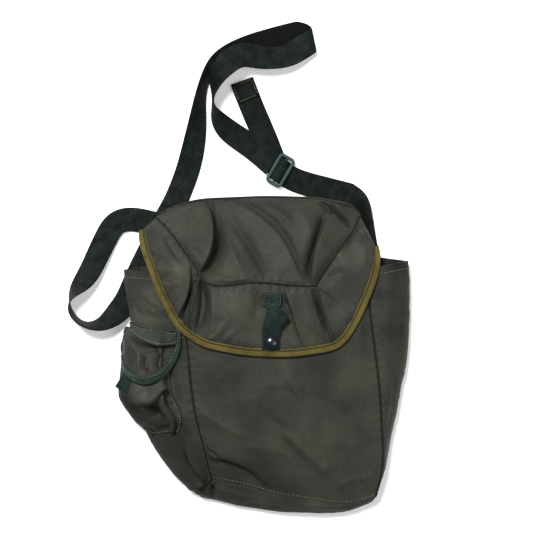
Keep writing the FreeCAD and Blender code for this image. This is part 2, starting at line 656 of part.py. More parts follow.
def make_slider():
    outer = Part.makeBox(SLIDER_SHORT, SLIDER_LONG, SLIDER_THICK,
                         FreeCAD.Vector(-SLIDER_SHORT / 2, -SLIDER_LONG / 2, 0))
    window = bar(0, SLIDER_SHORT - 2 * SLIDER_BAR, SLIDER_LONG - 2 * SLIDER_BAR)
    corners = [edge for edge in outer.Edges if abs(edge.tangentAt(edge.FirstParameter).z) > 0.9]
    outer = outer.makeFillet(SLIDER_CORNER, corners)
    save("slider_frame", in_slider(outer.cut(window)))
    save("slider_bar", in_slider(bar(0, SLIDER_BAR, SLIDER_LONG - 2 * SLIDER_BAR, 0.2)))
    half = WEB_WIDTH / 2
    upper = [[FreeCAD.Vector(x, half, z), FreeCAD.Vector(x, -half, z)] for x, z in SLIDER_TURN_PROFILE]
    normals = shared_normals([upper])
    sign = 1.0 if normals[key(upper[3][0])].z > 0 else -1.0
    lower = offset(upper, normals, sign * TURN_THICK)
    save("short_strap_turn", in_slider(solid_between(upper, lower)))
    corner = FreeCAD.Vector(SEWN_END_X, -half, SEWN_END_Z - SLIDER_Z)
    end = Part.makeBox(SEWN_END_LONG, WEB_WIDTH, WEB, corner)
    save("strap_sewn_end", in_slider(end))


body_front, left_gusset_grid = make_body()
flap_front_grid = make_flap()
tab_level = make_tab(flap_front_grid)
make_snap(body_front, flap_front_grid, tab_level)
pocket_front_grid = make_pocket(left_gusset_grid)
make_pocket_flap(left_gusset_grid, pocket_front_grid)
make_strap()
make_top_fold()
make_tail_tip()
make_anchors()
make_slider()
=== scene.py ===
import math

import bpy
import numpy as np
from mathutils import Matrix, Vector, noise
from mathutils.bvhtree import BVHTree


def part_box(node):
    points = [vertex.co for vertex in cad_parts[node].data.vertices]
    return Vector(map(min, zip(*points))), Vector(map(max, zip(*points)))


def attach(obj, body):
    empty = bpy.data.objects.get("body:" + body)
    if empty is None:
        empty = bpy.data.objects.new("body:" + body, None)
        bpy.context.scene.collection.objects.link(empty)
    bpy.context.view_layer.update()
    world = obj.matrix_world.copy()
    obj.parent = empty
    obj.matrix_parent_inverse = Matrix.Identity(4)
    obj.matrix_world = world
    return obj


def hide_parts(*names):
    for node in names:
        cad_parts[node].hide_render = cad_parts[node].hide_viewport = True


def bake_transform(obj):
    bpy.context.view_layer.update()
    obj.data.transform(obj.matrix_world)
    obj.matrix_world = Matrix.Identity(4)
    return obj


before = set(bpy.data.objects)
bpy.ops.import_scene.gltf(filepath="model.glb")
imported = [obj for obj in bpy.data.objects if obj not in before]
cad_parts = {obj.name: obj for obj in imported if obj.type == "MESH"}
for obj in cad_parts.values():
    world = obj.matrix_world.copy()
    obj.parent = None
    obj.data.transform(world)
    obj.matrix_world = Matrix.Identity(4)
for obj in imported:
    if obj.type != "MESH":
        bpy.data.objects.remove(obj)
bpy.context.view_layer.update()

# Empty nylon haversack lying on its back. Outlines are in millimetres in the CAD frame, x, y, z, and
# fold lines are in plan, x, y. Meshes are made in metres.

MM = 0.001
CLOTH = 1.2             # thickness that a panel of cloth is modelled at
HEM_GAP = 0.15          # between a panel and the hem turned in behind it
UNDERSIDE = 0.3         # height of the cloth that lies on the floor
RESTING = 0.2           # the lowest that its folds may reach
WEB_WIDTH = 25.0
RIB = 2.2               # one cross rib of the webbing
RIB_HEIGHT = 0.32       # from the furrow between two ribs to their crowns
RIB_SINK = 0.18         # the furrows lie this far under the webbing's nominal face
ROLL_STEP = 0.5         # spacing of the sections along webbing
FOLD_GAIN = 2.35        # the height of every fold line is scaled by this
FOLD_SHARPNESS = 1.45   # 2 gives round folds, 1 gives creases
HOLLOW_DEPTH = 1.8      # relief at which painted shade in a hollow or painted light on a ridge is full
RIM_SMOOTHING = 40      # rounds of smoothing on the flap's rim
BULGE = 3.0             # how far a flap ear stands out in its middle
ALLOWANCE_OUT = 1.8     # seam allowance of the flap's front panel, under its ears
ALLOWANCE_DOWN = 0.9    # how far that allowance drops at its edge
TAPE_ROUND = 20.0       # the scale of the map round a tape's section
CHANNEL_AT = 3.7        # the stitched channel's place on that scale
FOLD_POINTS = 44        # points that stand for one fold line

# ---- outlines ----

FRONT_LEFT_SEAM = [(-88, 118, 30), (-84, 71, 31), (-80, 33, 31), (-77, 1, 30), (-72, -30, 29), (-65, -58, 26),
                   (-60, -80, 22.5), (-56, -93, 20)]
FRONT_RIGHT_SEAM = [(102, 124, 29), (107, 73, 30), (112, 35, 30), (116, -1, 29), (119, -47, 27),
                    (119, -83, 23), (113, -111, 17)]
LEFT_FOLD = [(-148, 123, 10), (-146, 102, 10), (-141, 66, 10), (-140, 30, 10), (-137, -1, 10),
             (-129, -33, 10), (-117, -60, 9), (-99, -86, 8), (-70, -112, 7)]
RIGHT_FOLD = [(147, 132, 10), (148, 102, 10), (148, 71, 10), (145, 30, 10), (138, -9, 10), (131, -44, 9),
              (123, -81, 8), (112, -116, 7)]
BACK_LEFT_SEAM = [(-84, 134, 0.6), (-84, 60, 0.6), (-82, 0, 0.6), (-70, -58, 0.6)]
BACK_RIGHT_SEAM = [(84, 140, 0.6), (88, 60, 0.6), (92, 0, 0.6), (95, -68, 0.6)]
FRONT_BOTTOM_SEAM = [(-56, -93, 20), (-15, -101, 22), (9, -108, 22), (45, -114, 21), (86, -118, 19),
                     (113, -111, 17)]
MOUTH_FRONT = [(-88, 118, 30), (-40, 117, 31.2), (10, 118, 31.6), (60, 120, 31), (102, 124, 29)]

FLAP_FOLD = [(-114, 177, 14), (-97, 187, 10), (-79, 193, 8), (-46, 196, 7), (-2, 198, 7), (35, 197, 7),
             (60, 195, 7.5), (81, 190, 8.5), (92, 186, 10), (97, 179, 13)]
FLAP_RIM = [(-132, 163.5, 12.8), (-132.5, 157, 15), (-131, 149, 19), (-128.5, 141, 22.5), (-123, 128, 28.5),
            (-117, 111, 31), (-110, 94, 32.5), (-101, 78, 33.5), (-95, 66.5, 34.3), (-88, 58.5, 35),
            (-80, 53, 35.5), (-68, 45, 36.5), (-53, 41, 37.5), (-32, 37, 39), (9, 34, 40), (35, 35, 40),
            (55, 38, 38.5), (68, 40, 37.5), (78, 45, 36.5), (86, 55, 36), (94, 68, 36), (101, 83, 35.5),
            (108, 99, 34.5), (114, 116, 33), (117, 130, 28.5), (117.5, 139, 25.5), (115.5, 147, 22.5)]
EAR_SEAM_LEFT = [(-114, 177, 14), (-99, 162, 21.5), (-89, 149, 27.5), (-79, 135, 33), (-69, 116, 39)]
EAR_SEAM_RIGHT = [(97, 179, 13), (89, 163, 21), (80, 151, 26.5), (69, 135, 33), (59, 120, 37),
                  (51, 106, 39.5)]
PLEAT_LEFT = [(-69, 116, 39), (-76, 95, 38.5)]
PLEAT_RIGHT = [(51, 106, 39.5), (58, 78, 40)]
FLAP_SEAM = [(-69, 116, 39), (-60, 109, 39.6), (-50, 106.5, 40), (-36, 107, 40.2), (-12, 109.5, 40.5),
             (20, 107, 40.5), (51, 106, 39.5)]

POCKET_SEAM = [(-98, 43), (-98, 9), (-93, -11), (-86, -31), (-90, -44)]
POCKET_EDGE = [(-149, 41), (-151, 11), (-151, -11), (-143, -24), (-135, -34), (-120, -47)]
POCKET_PROFILE = [(0.0, 0.0), (0.2, 11.0), (0.45, 16.0), (0.7, 17.0), (0.9, 12.0), (1.0, 4.0), (0.97, -3.5)]
POCKET_RIM = [(-89, 59), (-88, 48), (-90, 38), (-94, 29), (-101, 19), (-110, 12), (-119, 8.5), (-127, 8),
              (-134, 10.5), (-141, 15), (-146, 22), (-149, 31), (-150, 40), (-149, 52), (-146, 62)]
POCKET_HINGE = [(-89, 60), (-104, 60.5), (-122, 62), (-138, 64), (-146, 64)]

# ---- folds: plan line, width to its left and to its right, height, lean over the narrower side ----

TOP_FOLDS = [
    ([(-67, 190), (-62, 176), (-60, 160), (-61, 144), (-66, 130), (-74, 120)], 3.6, 16, 5.8, 6.0),
    ([(-54, 182), (-52, 165), (-53, 148), (-58, 132), (-64, 121)], 9, 4, -4.6, 0),
    ([(48, 111), (51, 124), (55, 140), (60, 155), (66, 168), (73, 178), (71, 189)], 3.6, 13, 6.0, 6.0),
    ([(42, 116), (45, 132), (50, 148), (55, 163), (58, 178)], 4, 9, -4.8, 0),
    ([(56, 194), (68, 185), (78, 175), (87, 167)], 4.0, 3.0, -5.0, 0),
    ([(64, 194), (76, 184), (85, 174)], 4, 4, 2.6, 0),
    ([(-36, 194), (-14, 179), (2, 166), (14, 152), (23, 136), (32, 118), (38, 106)], 2.6, 13, 1.9, 2.4),
    ([(-18, 194), (6, 180), (20, 164), (30, 146), (38, 128)], 9, 3, -1.2, 0),
    ([(-52, 172), (-40, 150), (-30, 130), (-20, 114)], 5, 12, 1.9, 1.0),
    ([(-38, 178), (-25, 158), (-12, 138), (-2, 116)], 5, 5, -1.6, 0),
    ([(0, 190), (14, 182), (26, 170)], 3, 8, 1.0, 0),
    ([(-56, 118), (-44, 113), (-28, 112), (-12, 115)], 3, 6, 1.2, 0),
    ([(30, 190), (40, 176), (46, 158)], 9, 9, 1.2, 0),
    ([(-86, 150), (-76, 146), (-68, 138)], 3, 4, 0.8, 0),
]
FRONT_FLAP_FOLDS = [
    ([(-67, 114), (-66, 98), (-67, 80), (-71, 62)], 6, 2.6, -4.8, 0),
    ([(-73, 104), (-75, 90), (-78, 76), (-80, 66)], 1.8, 1.8, 1.6, 0),
    ([(-60, 106), (-56, 90), (-55, 74), (-58, 58)], 9, 3, 2.2, 0),
    ([(20, 103), (26, 86), (32, 66), (37, 50)], 9, 1.6, 2.4, 2.4),
    ([(15, 102), (20, 84), (25, 66)], 2.5, 6, -0.9, 0),
    ([(47, 103), (52, 88), (58, 70), (65, 54)], 7, 1.8, -3.8, 0),
    ([(-40, 100), (-30, 82), (-24, 60)], 10, 12, 0.8, 0),
    ([(-14, 104), (-9, 92), (-11, 78)], 4, 4, -1.0, 0),
    ([(18, 92), (24, 84), (26, 74)], 3, 3, -1.2, 0),
    ([(-48, 60), (-30, 52), (-12, 48)], 5, 6, 0.7, 0),
    ([(-60, 50), (-50, 57), (-43, 68)], 2.5, 3.5, 1.3, 1.0),
    ([(-46, 48), (-38, 56), (-32, 62)], 2.5, 3.0, 0.9, 0),
    ([(38, 96), (44, 78), (48, 58)], 7, 8, 0.8, 0),
]
LEFT_EAR_FOLDS = [
    ([(-79, 126), (-80, 110), (-85, 92), (-91, 74)], 1.8, 10, 3.6, 3.4),
    ([(-74, 112), (-78, 98), (-84, 80), (-88, 68)], 1.4, 1.4, -1.8, 0),
    ([(-122, 146), (-110, 138), (-98, 137)], 2.0, 3.4, 0.9, 0.8),
    ([(-114, 124), (-104, 121), (-94, 125)], 2.0, 3.4, 1.0, 0.8),
    ([(-108, 108), (-98, 107), (-90, 113)], 2.0, 3.4, 0.9, 0.8),
    ([(-101, 91), (-95, 97), (-90, 104)], 2.0, 3.4, 0.9, 0.6),
    ([(-113, 160), (-104, 148), (-96, 132)], 8, 8, 1.0, 0),
    ([(-106, 158), (-96, 142), (-86, 128)], 4, 4, -0.9, 0),
]
RIGHT_EAR_FOLDS = [
    ([(54, 102), (64, 93), (76, 83), (86, 75)], 1.4, 7.0, 2.4, 2.4),
    ([(54, 99), (60, 84), (66, 68), (70, 54)], 6, 1.4, 1.6, 2.0),
    ([(84, 156), (96, 148), (106, 136)], 6, 6, 1.0, 0),
    ([(68, 122), (80, 116), (96, 112)], 5, 7, 0.9, 0),
    ([(93, 170), (86, 158), (76, 145)], 3.0, 2.4, -2.8, 0),
    ([(100, 162), (101, 142), (98, 122)], 9, 9, 1.3, 0),
    ([(90, 168), (98, 164), (104, 156)], 2.5, 4, 0.9, 0),
    ([(64, 116), (70, 122), (80, 126)], 2, 3, -0.8, 0),
]
FRONT_FOLDS = [
    ([(-66, -54), (-60, -64), (-54, -68), (-42, -70), (-27, -75), (-13, -82), (-3, -92), (9, -99)],
     9, 3.4, 1.9, 1.4),
    ([(-63, -64), (-56, -73), (-42, -75), (-27, -80), (-13, -88), (-4, -97)], 4.0, 7, -1.3, 0),
    ([(-64, -60), (-52, -66), (-44, -78)], 1.6, 2.6, -1.2, 0),
    ([(-70, -20), (-54, -32), (-40, -40), (-24, -48)], 4, 6, 0.9, 0.8),
    ([(17, -42), (32, -56), (48, -72), (66, -90)], 9, 3, 1.0, 1.0),
    ([(14, -48), (28, -62), (42, -78)], 3, 6, -0.7, 0),
    ([(0, -24), (12, -34), (24, -44)], 4, 5, -0.7, 0),
    ([(18, 18), (27, 4), (37, -14)], 8, 3, 0.9, 0.8),
    ([(70, 40), (84, 18), (92, -10)], 10, 14, 0.8, 0),
    ([(60, -10), (86, -30), (104, -58)], 8, 10, -0.7, 0),
    ([(-60, 30), (-40, 22), (-20, 24)], 8, 8, 0.6, 0),
    ([(-30, -58), (-4, -60), (20, -66)], 6, 6, 0.6, 0),
    ([(101, 100), (96, 60), (98, 20)], 4, 9, 0.8, 0),
    ([(-10, 0), (14, 6), (40, 0)], 9, 7, 0.6, 0),
    ([(70, -100), (92, -92), (110, -88)], 4, 6, 0.7, 0),
]
LEFT_GUSSET_FOLDS = [
    ([(-82, -60), (-78, -70), (-70, -84), (-61, -98)], 8, 1.3, 2.2, 2.4),
    ([(-85, -63), (-81, -73), (-73, -87), (-65, -99)], 1.5, 5, -2.2, 0),
    ([(-80, -104), (-72, -101), (-64, -98), (-57, -97)], 5, 1.3, 1.9, 1.6),
    ([(-60, -90), (-61, -100), (-58, -110)], 4.5, 2.0, -3.2, 0),
    ([(-104, -62), (-92, -78), (-80, -94)], 6, 6, -0.8, 0),
    ([(-138, 112), (-124, 96), (-108, 84)], 10, 10, 1.2, 0),
    ([(-132, 80), (-116, 74), (-100, 74)], 6, 4, -0.8, 0),
    ([(-96, -6), (-88, -24), (-80, -44)], 4, 3, 1.0, 0.8),
    ([(-98, 20), (-92, 0), (-86, -20)], 3, 3, -0.9, 0),
    ([(-110, 118), (-106, 100), (-104, 88)], 6, 9, -0.8, 0),
]
RIGHT_GUSSET_FOLDS = [
    ([(128, 118), (126, 84), (124, 46)], 7, 9, 1.0, 0),
    ([(140, 92), (139, 60), (136, 26)], 4, 5, -0.8, 0),
    ([(122, 30), (126, 2), (125, -30)], 5, 5, 0.9, 0.8),
    ([(133, 20), (130, -14), (124, -50)], 4, 4, -0.8, 0),
    ([(136, 110), (130, 104), (118, 102)], 4, 5, 0.7, 0),
    ([(121, -60), (119, -80), (116, -100)], 3, 4, 0.7, 0),
]
BOTTOM_FOLDS = [
    ([(-50, -104), (-36, -108), (-20, -112), (-2, -116)], 3, 4, 1.0, 1.0),
    ([(-20, -119), (6, -122), (34, -123)], 3, 4, -0.8, 0),
    ([(30, -118), (56, -121), (84, -122)], 3, 3, 0.8, 0),
    ([(-58, -94), (-56, -103), (-56, -112)], 2.0, 2.6, -2.8, 0),
]
POCKET_FOLDS = [
    ([(-112, -10), (-110, -22), (-104, -38)], 11, 9, -2.5, 0),
    ([(-137, 8), (-139, -6), (-136, -18), (-129, -27), (-120, -33), (-118, -41)], 2.4, 2.0, -3.4, 0),
    ([(-135, 4), (-137, -8), (-133, -20), (-125, -28), (-118, -34), (-114, -44)], 4.5, 1.6, 3.2, 2.4),
    ([(-122, -18), (-115, -26), (-107, -31)], 4, 2.4, -3.0, 0),
    ([(-104, 8), (-110, -3), (-122, -11), (-134, -9)], 1.8, 6, 2.8, 2.4),
    ([(-98, -24), (-106, -34), (-112, -42)], 3, 3, 1.2, 0.8),
    ([(-108, -2), (-102, -14), (-96, -28)], 3, 4, -1.2, 0),
    ([(-112, -40), (-104, -39), (-96, -36)], 1.6, 2.4, -1.2, 0),
]
POCKET_FLAP_FOLDS = [
    ([(-110, 42), (-117, 32), (-115, 18)], 6, 2.0, 2.2, 2.0),
    ([(-118, 42), (-122, 34), (-121, 18)], 2.4, 4, -2.0, 0),
    ([(-132, 48), (-130, 34), (-132, 18)], 3, 3, 1.2, 1.0),
    ([(-102, 44), (-105, 34), (-110, 24)], 3, 3, -1.0, 0),
    ([(-140, 56), (-131, 50), (-121, 45), (-108, 42), (-94, 43)], 2.5, 3.2, -2.8, 0),
]
# places in plan where the cloth is rubbed, then where painted shade darkens it and where painted light
# brightens it: x, y, radius, strength
RUBBED = [(-122, 86, 17, 1), (-136, 76, 9, 1), (-118, -1, 10, 1), (58, -76, 3, 1), (-5, -118, 7, 1),
          (130, -22, 6, 1), (-44, 84, 14, 1), (76, 82, 8, 1), (-130, -2, 8, 1), (-88, 122, 8, 1)]
# painted shade: darker patches where shade falls, such as the bag's lower left corner, round the tab, under
# the flap's edges and in the mouth
PAINTED_SHADE_SPOTS = [(-70, -72, 20, 0.6), (-38, -74, 16, 0.45), (-12, -76, 14, 0.35), (4, -92, 14, 0.4),
          (24, -108, 16, 0.4), (-70, -96, 14, 0.5), (-92, -46, 18, 0.5), (-122, -30, 16, 0.55),
          (-144, -12, 12, 0.45), (-14, -124, 18, 0.35), (-69, 115, 10, 0.7), (-70, 98, 8, 0.35),
          (60, 152, 9, 0.35), (79, 189, 9, 0.5), (-14, 78, 8, 0.4), (23, 79, 8, 0.5), (136, 133, 10, 0.8),
          (-88, 41, 12, 0.5), (115, 98, 7, 0.5), (98, 60, 8, 0.3), (134, -24, 12, 0.35),
          (-125, 115, 9, 0.45)]
# painted light: paler patches of the cloth where light falls
PAINTED_LIGHT_SPOTS = [(74, 74, 15, 0.5), (-88, 88, 11, 0.25), (132, 82, 12, 0.2), (-56, 60, 9, 0.3), (44, 47, 9, 0.25),
          (-70, 182, 8, 0.25)]

# ---- strap stations: x, y, height of the centre, roll ----

LONG_FIRST = [(-60, 161, 3.0, 0), (-84, 164, 3.0, 0), (-104, 168, 3.0, 0), (-123, 172.3, 2.9, 0),
              (-140, 175.2, 1.5, 0), (-155, 172, 2.2, 5), (-167, 156, 2.3, 5), (-177, 135, 3.7, 12),
              (-189, 113, 7.3, 28), (-199.5, 100, 12.0, 60), (-204, 88, 13.2, 85), (-199, 74, 13.4, 95),
              (-187, 66, 13.2, 101), (-173, 66.5, 11.5, 122), (-160, 74, 7.0, 152), (-148, 87.5, 1.6, 180),
              (-136, 113, 1.1, 180), (-122, 142, 1.05, 180), (-107, 172, 1.05, 180), (-95, 194, 1.05, 180),
              (-88, 210, 1.8, 184), (-81, 230, 3.1, 190), (-75, 255, 6.2, 206), (-71, 280, 10.0, 228),
              (-68, 303, 11.9, 246), (-60, 326, 11.9, 244), (-47, 339.5, 8.0, 215), (-27, 351, 4.4, 197),
              (0, 360.5, 2.5, 187), (35.5, 370, 1.25, 181)]
LONG_SECOND = [(36, 353, 8.6, 0), (22, 345, 10.5, 12), (8, 342, 12.4, 18), (-8, 342.5, 15.2, 10),
               (-24, 344, 18.8, 3), (-39, 336.5, 22.6, 10), (-49, 324, 22, 35), (-54, 307.5, 15.2, 74),
               (-55.5, 294, 12.8, 84), (-51, 281, 10.8, 55), (-40, 268, 6.5, 24), (-26, 258, 4.5, 8),
               (-12, 248, 3.4, 0), (1, 237, 3.05, 0), (8, 231, 3.05, 0)]
SHORT = [(-25.5, 319, 1.05, 0), (-15.5, 293, 1.05, 0), (-4, 266, 1.05, 0), (4, 246, 1.05, 0),
         (11, 231, 1.05, 0), (23, 220, 1.05, 0), (38, 213.5, 1.05, 0), (60, 207.5, 1.05, 0),
         (76, 203.4, 1.2, 0), (88, 200.2, 2.0, 6)]
SHORT_TURN = [(84, 201.3, 1.9, 4), (93, 194.5, 3.0, 14), (97.5, 181, 3.0, 12), (100.5, 163, 1.8, 2),
              (103.5, 146, 1.1, 0), (107, 128, 1.1, 0)]
SLIDER_CENTRE = (14.5, 226.0)
SLIDER_TURN = math.radians(-30)
SLIDER_FLOOR = 4.3
FRAME_HALF_WIDTH = 1.8
FRAME_HALF_HEIGHT = 1.0


# ---- curves and grids ----

def natural(knots, values, at):
    """Natural cubic spline through values at knots."""
    count = len(knots)
    if count == 2:
        return np.interp(at, knots, values)
    gap = np.diff(knots)
    system = np.eye(count)
    right = np.zeros(count)
    for i in range(1, count - 1):
        system[i, i - 1:i + 2] = gap[i - 1], 2 * (gap[i - 1] + gap[i]), gap[i]
        right[i] = 6 * ((values[i + 1] - values[i]) / gap[i] - (values[i] - values[i - 1]) / gap[i - 1])
    bend = np.linalg.solve(system, right)
    i = np.clip(np.searchsorted(knots, at) - 1, 0, count - 2)
    a = (knots[i + 1] - at) / gap[i]
    b = 1 - a
    return (a * values[i] + b * values[i + 1]
            + ((a ** 3 - a) * bend[i] + (b ** 3 - b) * bend[i + 1]) * gap[i] ** 2 / 6)


def run_of(points):
    steps = np.linalg.norm(np.diff(points[:, :3], axis=0), axis=1)
    return np.concatenate(([0.0], np.cumsum(steps)))


def spline(points, shares):
    """Points of a smooth curve at shares of its length."""
    points = np.array(points, float)
    apart = np.concatenate(([True], np.linalg.norm(np.diff(points, axis=0), axis=1) > 1e-6))
    points = points[apart]
    knots = run_of(points)
    fine = np.linspace(0, knots[-1], 30 * len(points))
    dense = np.column_stack([natural(knots, points[:, k], fine) for k in range(points.shape[1])])
    run = run_of(dense)
    at = np.asarray(shares) * run[-1]
    return np.column_stack([np.interp(at, run, dense[:, k]) for k in range(points.shape[1])])


def even(count, length):
    """Shares along a side of that length, with extra ones close to both ends for seams."""
    inner = np.linspace(0, 1, count)
    close = np.array((0.5, 1.1, 2.0, 3.4)) / length
    return np.unique(np.concatenate((inner, close, 1 - close)))


def smooth(x):
    x = np.clip(x, 0, 1)
    return x * x * (3 - 2 * x)


def unit(vectors):
    return vectors / np.linalg.norm(vectors, axis=1, keepdims=True)


def relax(rows, times=1):
    """Even out each row but the first and last with its neighbours, in place."""
    for _ in range(times):
        rows[1:-1] = (rows[:-2] + 2 * rows[1:-1] + rows[2:]) / 4


def coons(top, bottom, left, right, down, across):
    """Grid between four boundary curves; rows run from top to bottom."""
    t = down[:, None, None]
    s = across[None, :, None]
    ruled = top[None] * (1 - t) + bottom[None] * t + left[:, None] * (1 - s) + right[:, None] * s
    corners = ((top[0] * (1 - s) + top[-1] * s) * (1 - t) + (bottom[0] * (1 - s) + bottom[-1] * s) * t)
    return ruled - corners


def normals(grid):
    n = np.cross(np.gradient(grid, axis=0), np.gradient(grid, axis=1))
    size = np.linalg.norm(n, axis=2, keepdims=True)
    return n / np.maximum(size, 1e-9)


def cloth_lengths(grid):
    """Distance along the cloth from the left side and from the top, for every point of a grid."""
    along = np.linalg.norm(np.diff(grid, axis=1), axis=2)
    down = np.linalg.norm(np.diff(grid, axis=0), axis=2)
    u = np.concatenate((np.zeros((grid.shape[0], 1)), np.cumsum(along, axis=1)), axis=1)
    v = np.concatenate((np.zeros((1, grid.shape[1])), np.cumsum(down, axis=0)), axis=0)
    return u, v


def perlin(grid, size, seed):
    flat = grid.reshape(-1, 3) / size + seed
    return np.array([noise.noise(Vector(p)) for p in flat]).reshape(grid.shape[:2])


def softened(values):
    """The values blurred over a few cells either way."""
    for _ in range(12):
        padded = np.pad(values, 1, mode="edge")
        values = (padded[:-2, 1:-1] + padded[2:, 1:-1] + padded[1:-1, :-2] + padded[1:-1, 2:]) / 4
    return values


def folded(grid, folds, seed, rough=0.5, groove=0.8, pucker=0.35, seams="tblr", reach=7.0):
    """Cloth raised along its fold lines, slightly uneven, with sunk and puckered seams.

    Returns the grid and, for each point, the share of painted shade in fold valleys, hollows and seams (up to
    1) or of painted light on ridges (down to -1)."""
    n = normals(grid)
    u, v = cloth_lengths(grid)
    sides = {"l": u, "r": u[:, -1:] - u, "t": v, "b": v[-1:] - v}
    mask = np.ones(grid.shape[:2])
    for distance in sides.values():
        mask *= smooth(distance / reach)
    rise = np.zeros(grid.shape[:2])
    shift = np.zeros(grid.shape)
    shade = np.zeros(grid.shape[:2])
    for points, wide_left, wide_right, height, lean in folds:
        line = spline(points, np.linspace(0, 1, FOLD_POINTS))
        tangent = unit(np.gradient(line, axis=0))
        delta = grid[:, :, None, :2] - line[None, None]
        distance = np.linalg.norm(delta, axis=3)
        nearest = distance.argmin(axis=2)
        d = np.take_along_axis(distance, nearest[:, :, None], 2)[:, :, 0]
        dx = np.take_along_axis(delta[..., 0], nearest[:, :, None], 2)[:, :, 0]
        dy = np.take_along_axis(delta[..., 1], nearest[:, :, None], 2)[:, :, 0]
        side = tangent[nearest, 0] * dy - tangent[nearest, 1] * dx
        width = np.where(side > 0, wide_left, wide_right)
        taper = np.sin(np.pi * (nearest + 2) / (FOLD_POINTS + 3)) ** 0.6
        bell = taper * np.exp(-(d / width) ** FOLD_SHARPNESS)
        rise += FOLD_GAIN * height * bell
        # painted shade in the valley of a fold
        if height < 0:
            shade = np.maximum(shade, 0.75 * bell * min(1.0, -height / 2.6))
        towards = 1.0 if wide_left < wide_right else -1.0
        shift[..., 0] -= towards * lean * bell * tangent[nearest, 1]
        shift[..., 1] += towards * lean * bell * tangent[nearest, 0]
    uneven = perlin(grid, 26.0, seed)
    uneven = uneven + 0.4 * perlin(grid, 12.0, seed + 5) + 0.14 * perlin(grid, 5.5, seed + 6)
    rise += rough * uneven
    rise += 0.45 * rough * (1 - np.abs(perlin(grid, 38.0, seed + 3))) ** 12
    rise *= mask
    # painted shade in hollows and painted light on ridges, from the relief
    relief = rise - softened(rise)
    shade = np.maximum(shade, 0.65 * np.clip(-relief / HOLLOW_DEPTH, 0, 1))
    shade = np.where(shade < 0.05, -np.clip(relief / HOLLOW_DEPTH, 0, 1), shade)
    for letter in seams:
        distance = sides[letter]
        along = v if letter in "lr" else u
        wave = np.sin(2 * np.pi * along / 9.0 + 3 * perlin(grid, 20.0, seed + 9))
        rise += pucker * wave * np.exp(-(distance / 6) ** 2) * smooth(distance / 2.5)
        rise -= groove * np.exp(-(distance / 1.4) ** 2)
        # painted shade along the sunk seam
        shade = np.maximum(shade, 0.9 * np.exp(-(distance / 1.3) ** 2))
    return grid + n * rise[..., None] + shift * mask[..., None], shade


# ---- meshes ----

def quads(rows, cols, start=0):
    faces = []
    for i in range(rows - 1):
        for j in range(cols - 1):
            a = start + i * cols + j
            faces.append((a, a + cols, a + cols + 1, a + 1))
    return faces


def mesh_piece(name, vertices, faces, uv=None, sharp_from=None, paint_layers=None):
    """A mesh object in metres from millimetre points; faces from sharp_from on are flat-shaded walls."""
    mesh = bpy.data.meshes.new(name)
    mesh.from_pydata((np.asarray(vertices) * MM).tolist(), [], [tuple(int(i) for i in f) for f in faces])
    flags = np.ones(len(faces), bool)
    if sharp_from is not None:
        flags[sharp_from:] = False
    mesh.polygons.foreach_set("use_smooth", flags)
    if uv is not None:
        loops = np.empty(len(mesh.loops), int)
        mesh.loops.foreach_get("vertex_index", loops)
        layer = mesh.uv_layers.new(name="cloth")
        layer.data.foreach_set("uv", (np.asarray(uv)[loops] * MM).astype(np.float32).ravel())
    for layer_name, values in (paint_layers or {}).items():
        attribute = mesh.attributes.new(layer_name, "FLOAT", "POINT")
        attribute.data.foreach_set("value", np.asarray(values, np.float32))
    mesh.update()
    obj = bpy.data.objects.new(name, mesh)
    bpy.context.scene.collection.objects.link(obj)
    return obj


def spots_at(points, spots):
    """How strongly the spots touch each point; the side that lies on the floor is left alone."""
    total = np.zeros(len(points))
    for x, y, radius, strength in spots:
        total += strength * np.exp(-(np.hypot(points[:, 0] - x, points[:, 1] - y) / radius) ** 2)
    return np.clip(total, 0, 1) * (points[:, 2] > 4)


def shell(name, grid, material, thickness=CLOTH, shade=None):
    """Cloth of that thickness with its outer face on the grid, and closed edges."""
    rows, cols = grid.shape[:2]
    if shade is None:
        shade = np.zeros((rows, cols))
    n = normals(grid)
    outer = grid.reshape(-1, 3)
    inner = (grid - n * thickness).reshape(-1, 3)
    count = rows * cols
    faces = quads(rows, cols)
    faces += [tuple(reversed(f)) for f in quads(rows, cols, count)]
    walls_from = len(faces)
    ring = list(range(cols)) + [i * cols + cols - 1 for i in range(1, rows)]
    ring += [(rows - 1) * cols + j for j in reversed(range(cols - 1))]
    ring += [i * cols for i in reversed(range(1, rows - 1))]
    for a, b in zip(ring, ring[1:] + ring[:1]):
        faces.append((a, b, b + count, a + count))
    u, v = cloth_lengths(grid)
    uv = np.column_stack((u.ravel(), v.ravel()))
    points = np.concatenate((outer, inner))
    shade = np.concatenate((shade.ravel(), shade.ravel()))
    # the wear layer marks rubbed cloth; the next layer holds painted shade and the last one painted light
    layers = {"wear": spots_at(points, RUBBED), "painted_shade": np.maximum(shade, spots_at(points, PAINTED_SHADE_SPOTS)),
              "painted_light": np.maximum(-shade, spots_at(points, PAINTED_LIGHT_SPOTS))}
    obj = mesh_piece(name, points, faces, np.concatenate((uv, uv)), walls_from, layers)
    obj.data.materials.append(material)
    return obj


def loft(name, loops, material, along, around, shade=None):
    """Closed sections joined along a path, such as tape or webbing."""
    loops = np.asarray(loops)
    rows, cols = loops.shape[:2]
    faces = []
    for i in range(rows - 1):
        for j in range(cols):
            k = (j + 1) % cols
            faces.append((i * cols + j, i * cols + k, (i + 1) * cols + k, (i + 1) * cols + j))
    flat_from = len(faces)
    faces.append(tuple(reversed(range(cols))))
    faces.append(tuple((rows - 1) * cols + j for j in range(cols)))
    uv = np.stack(np.broadcast_arrays(np.asarray(around)[None, :], np.asarray(along)[:, None]), axis=2)
    # any shade given here becomes painted shade on the webbing
    layers = None if shade is None else {"painted_shade": np.broadcast_to(shade, (rows, cols)).ravel()}
    obj = mesh_piece(name, loops.reshape(-1, 3), faces, uv.reshape(-1, 2), flat_from, layers)
    obj.data.materials.append(material)
    return obj


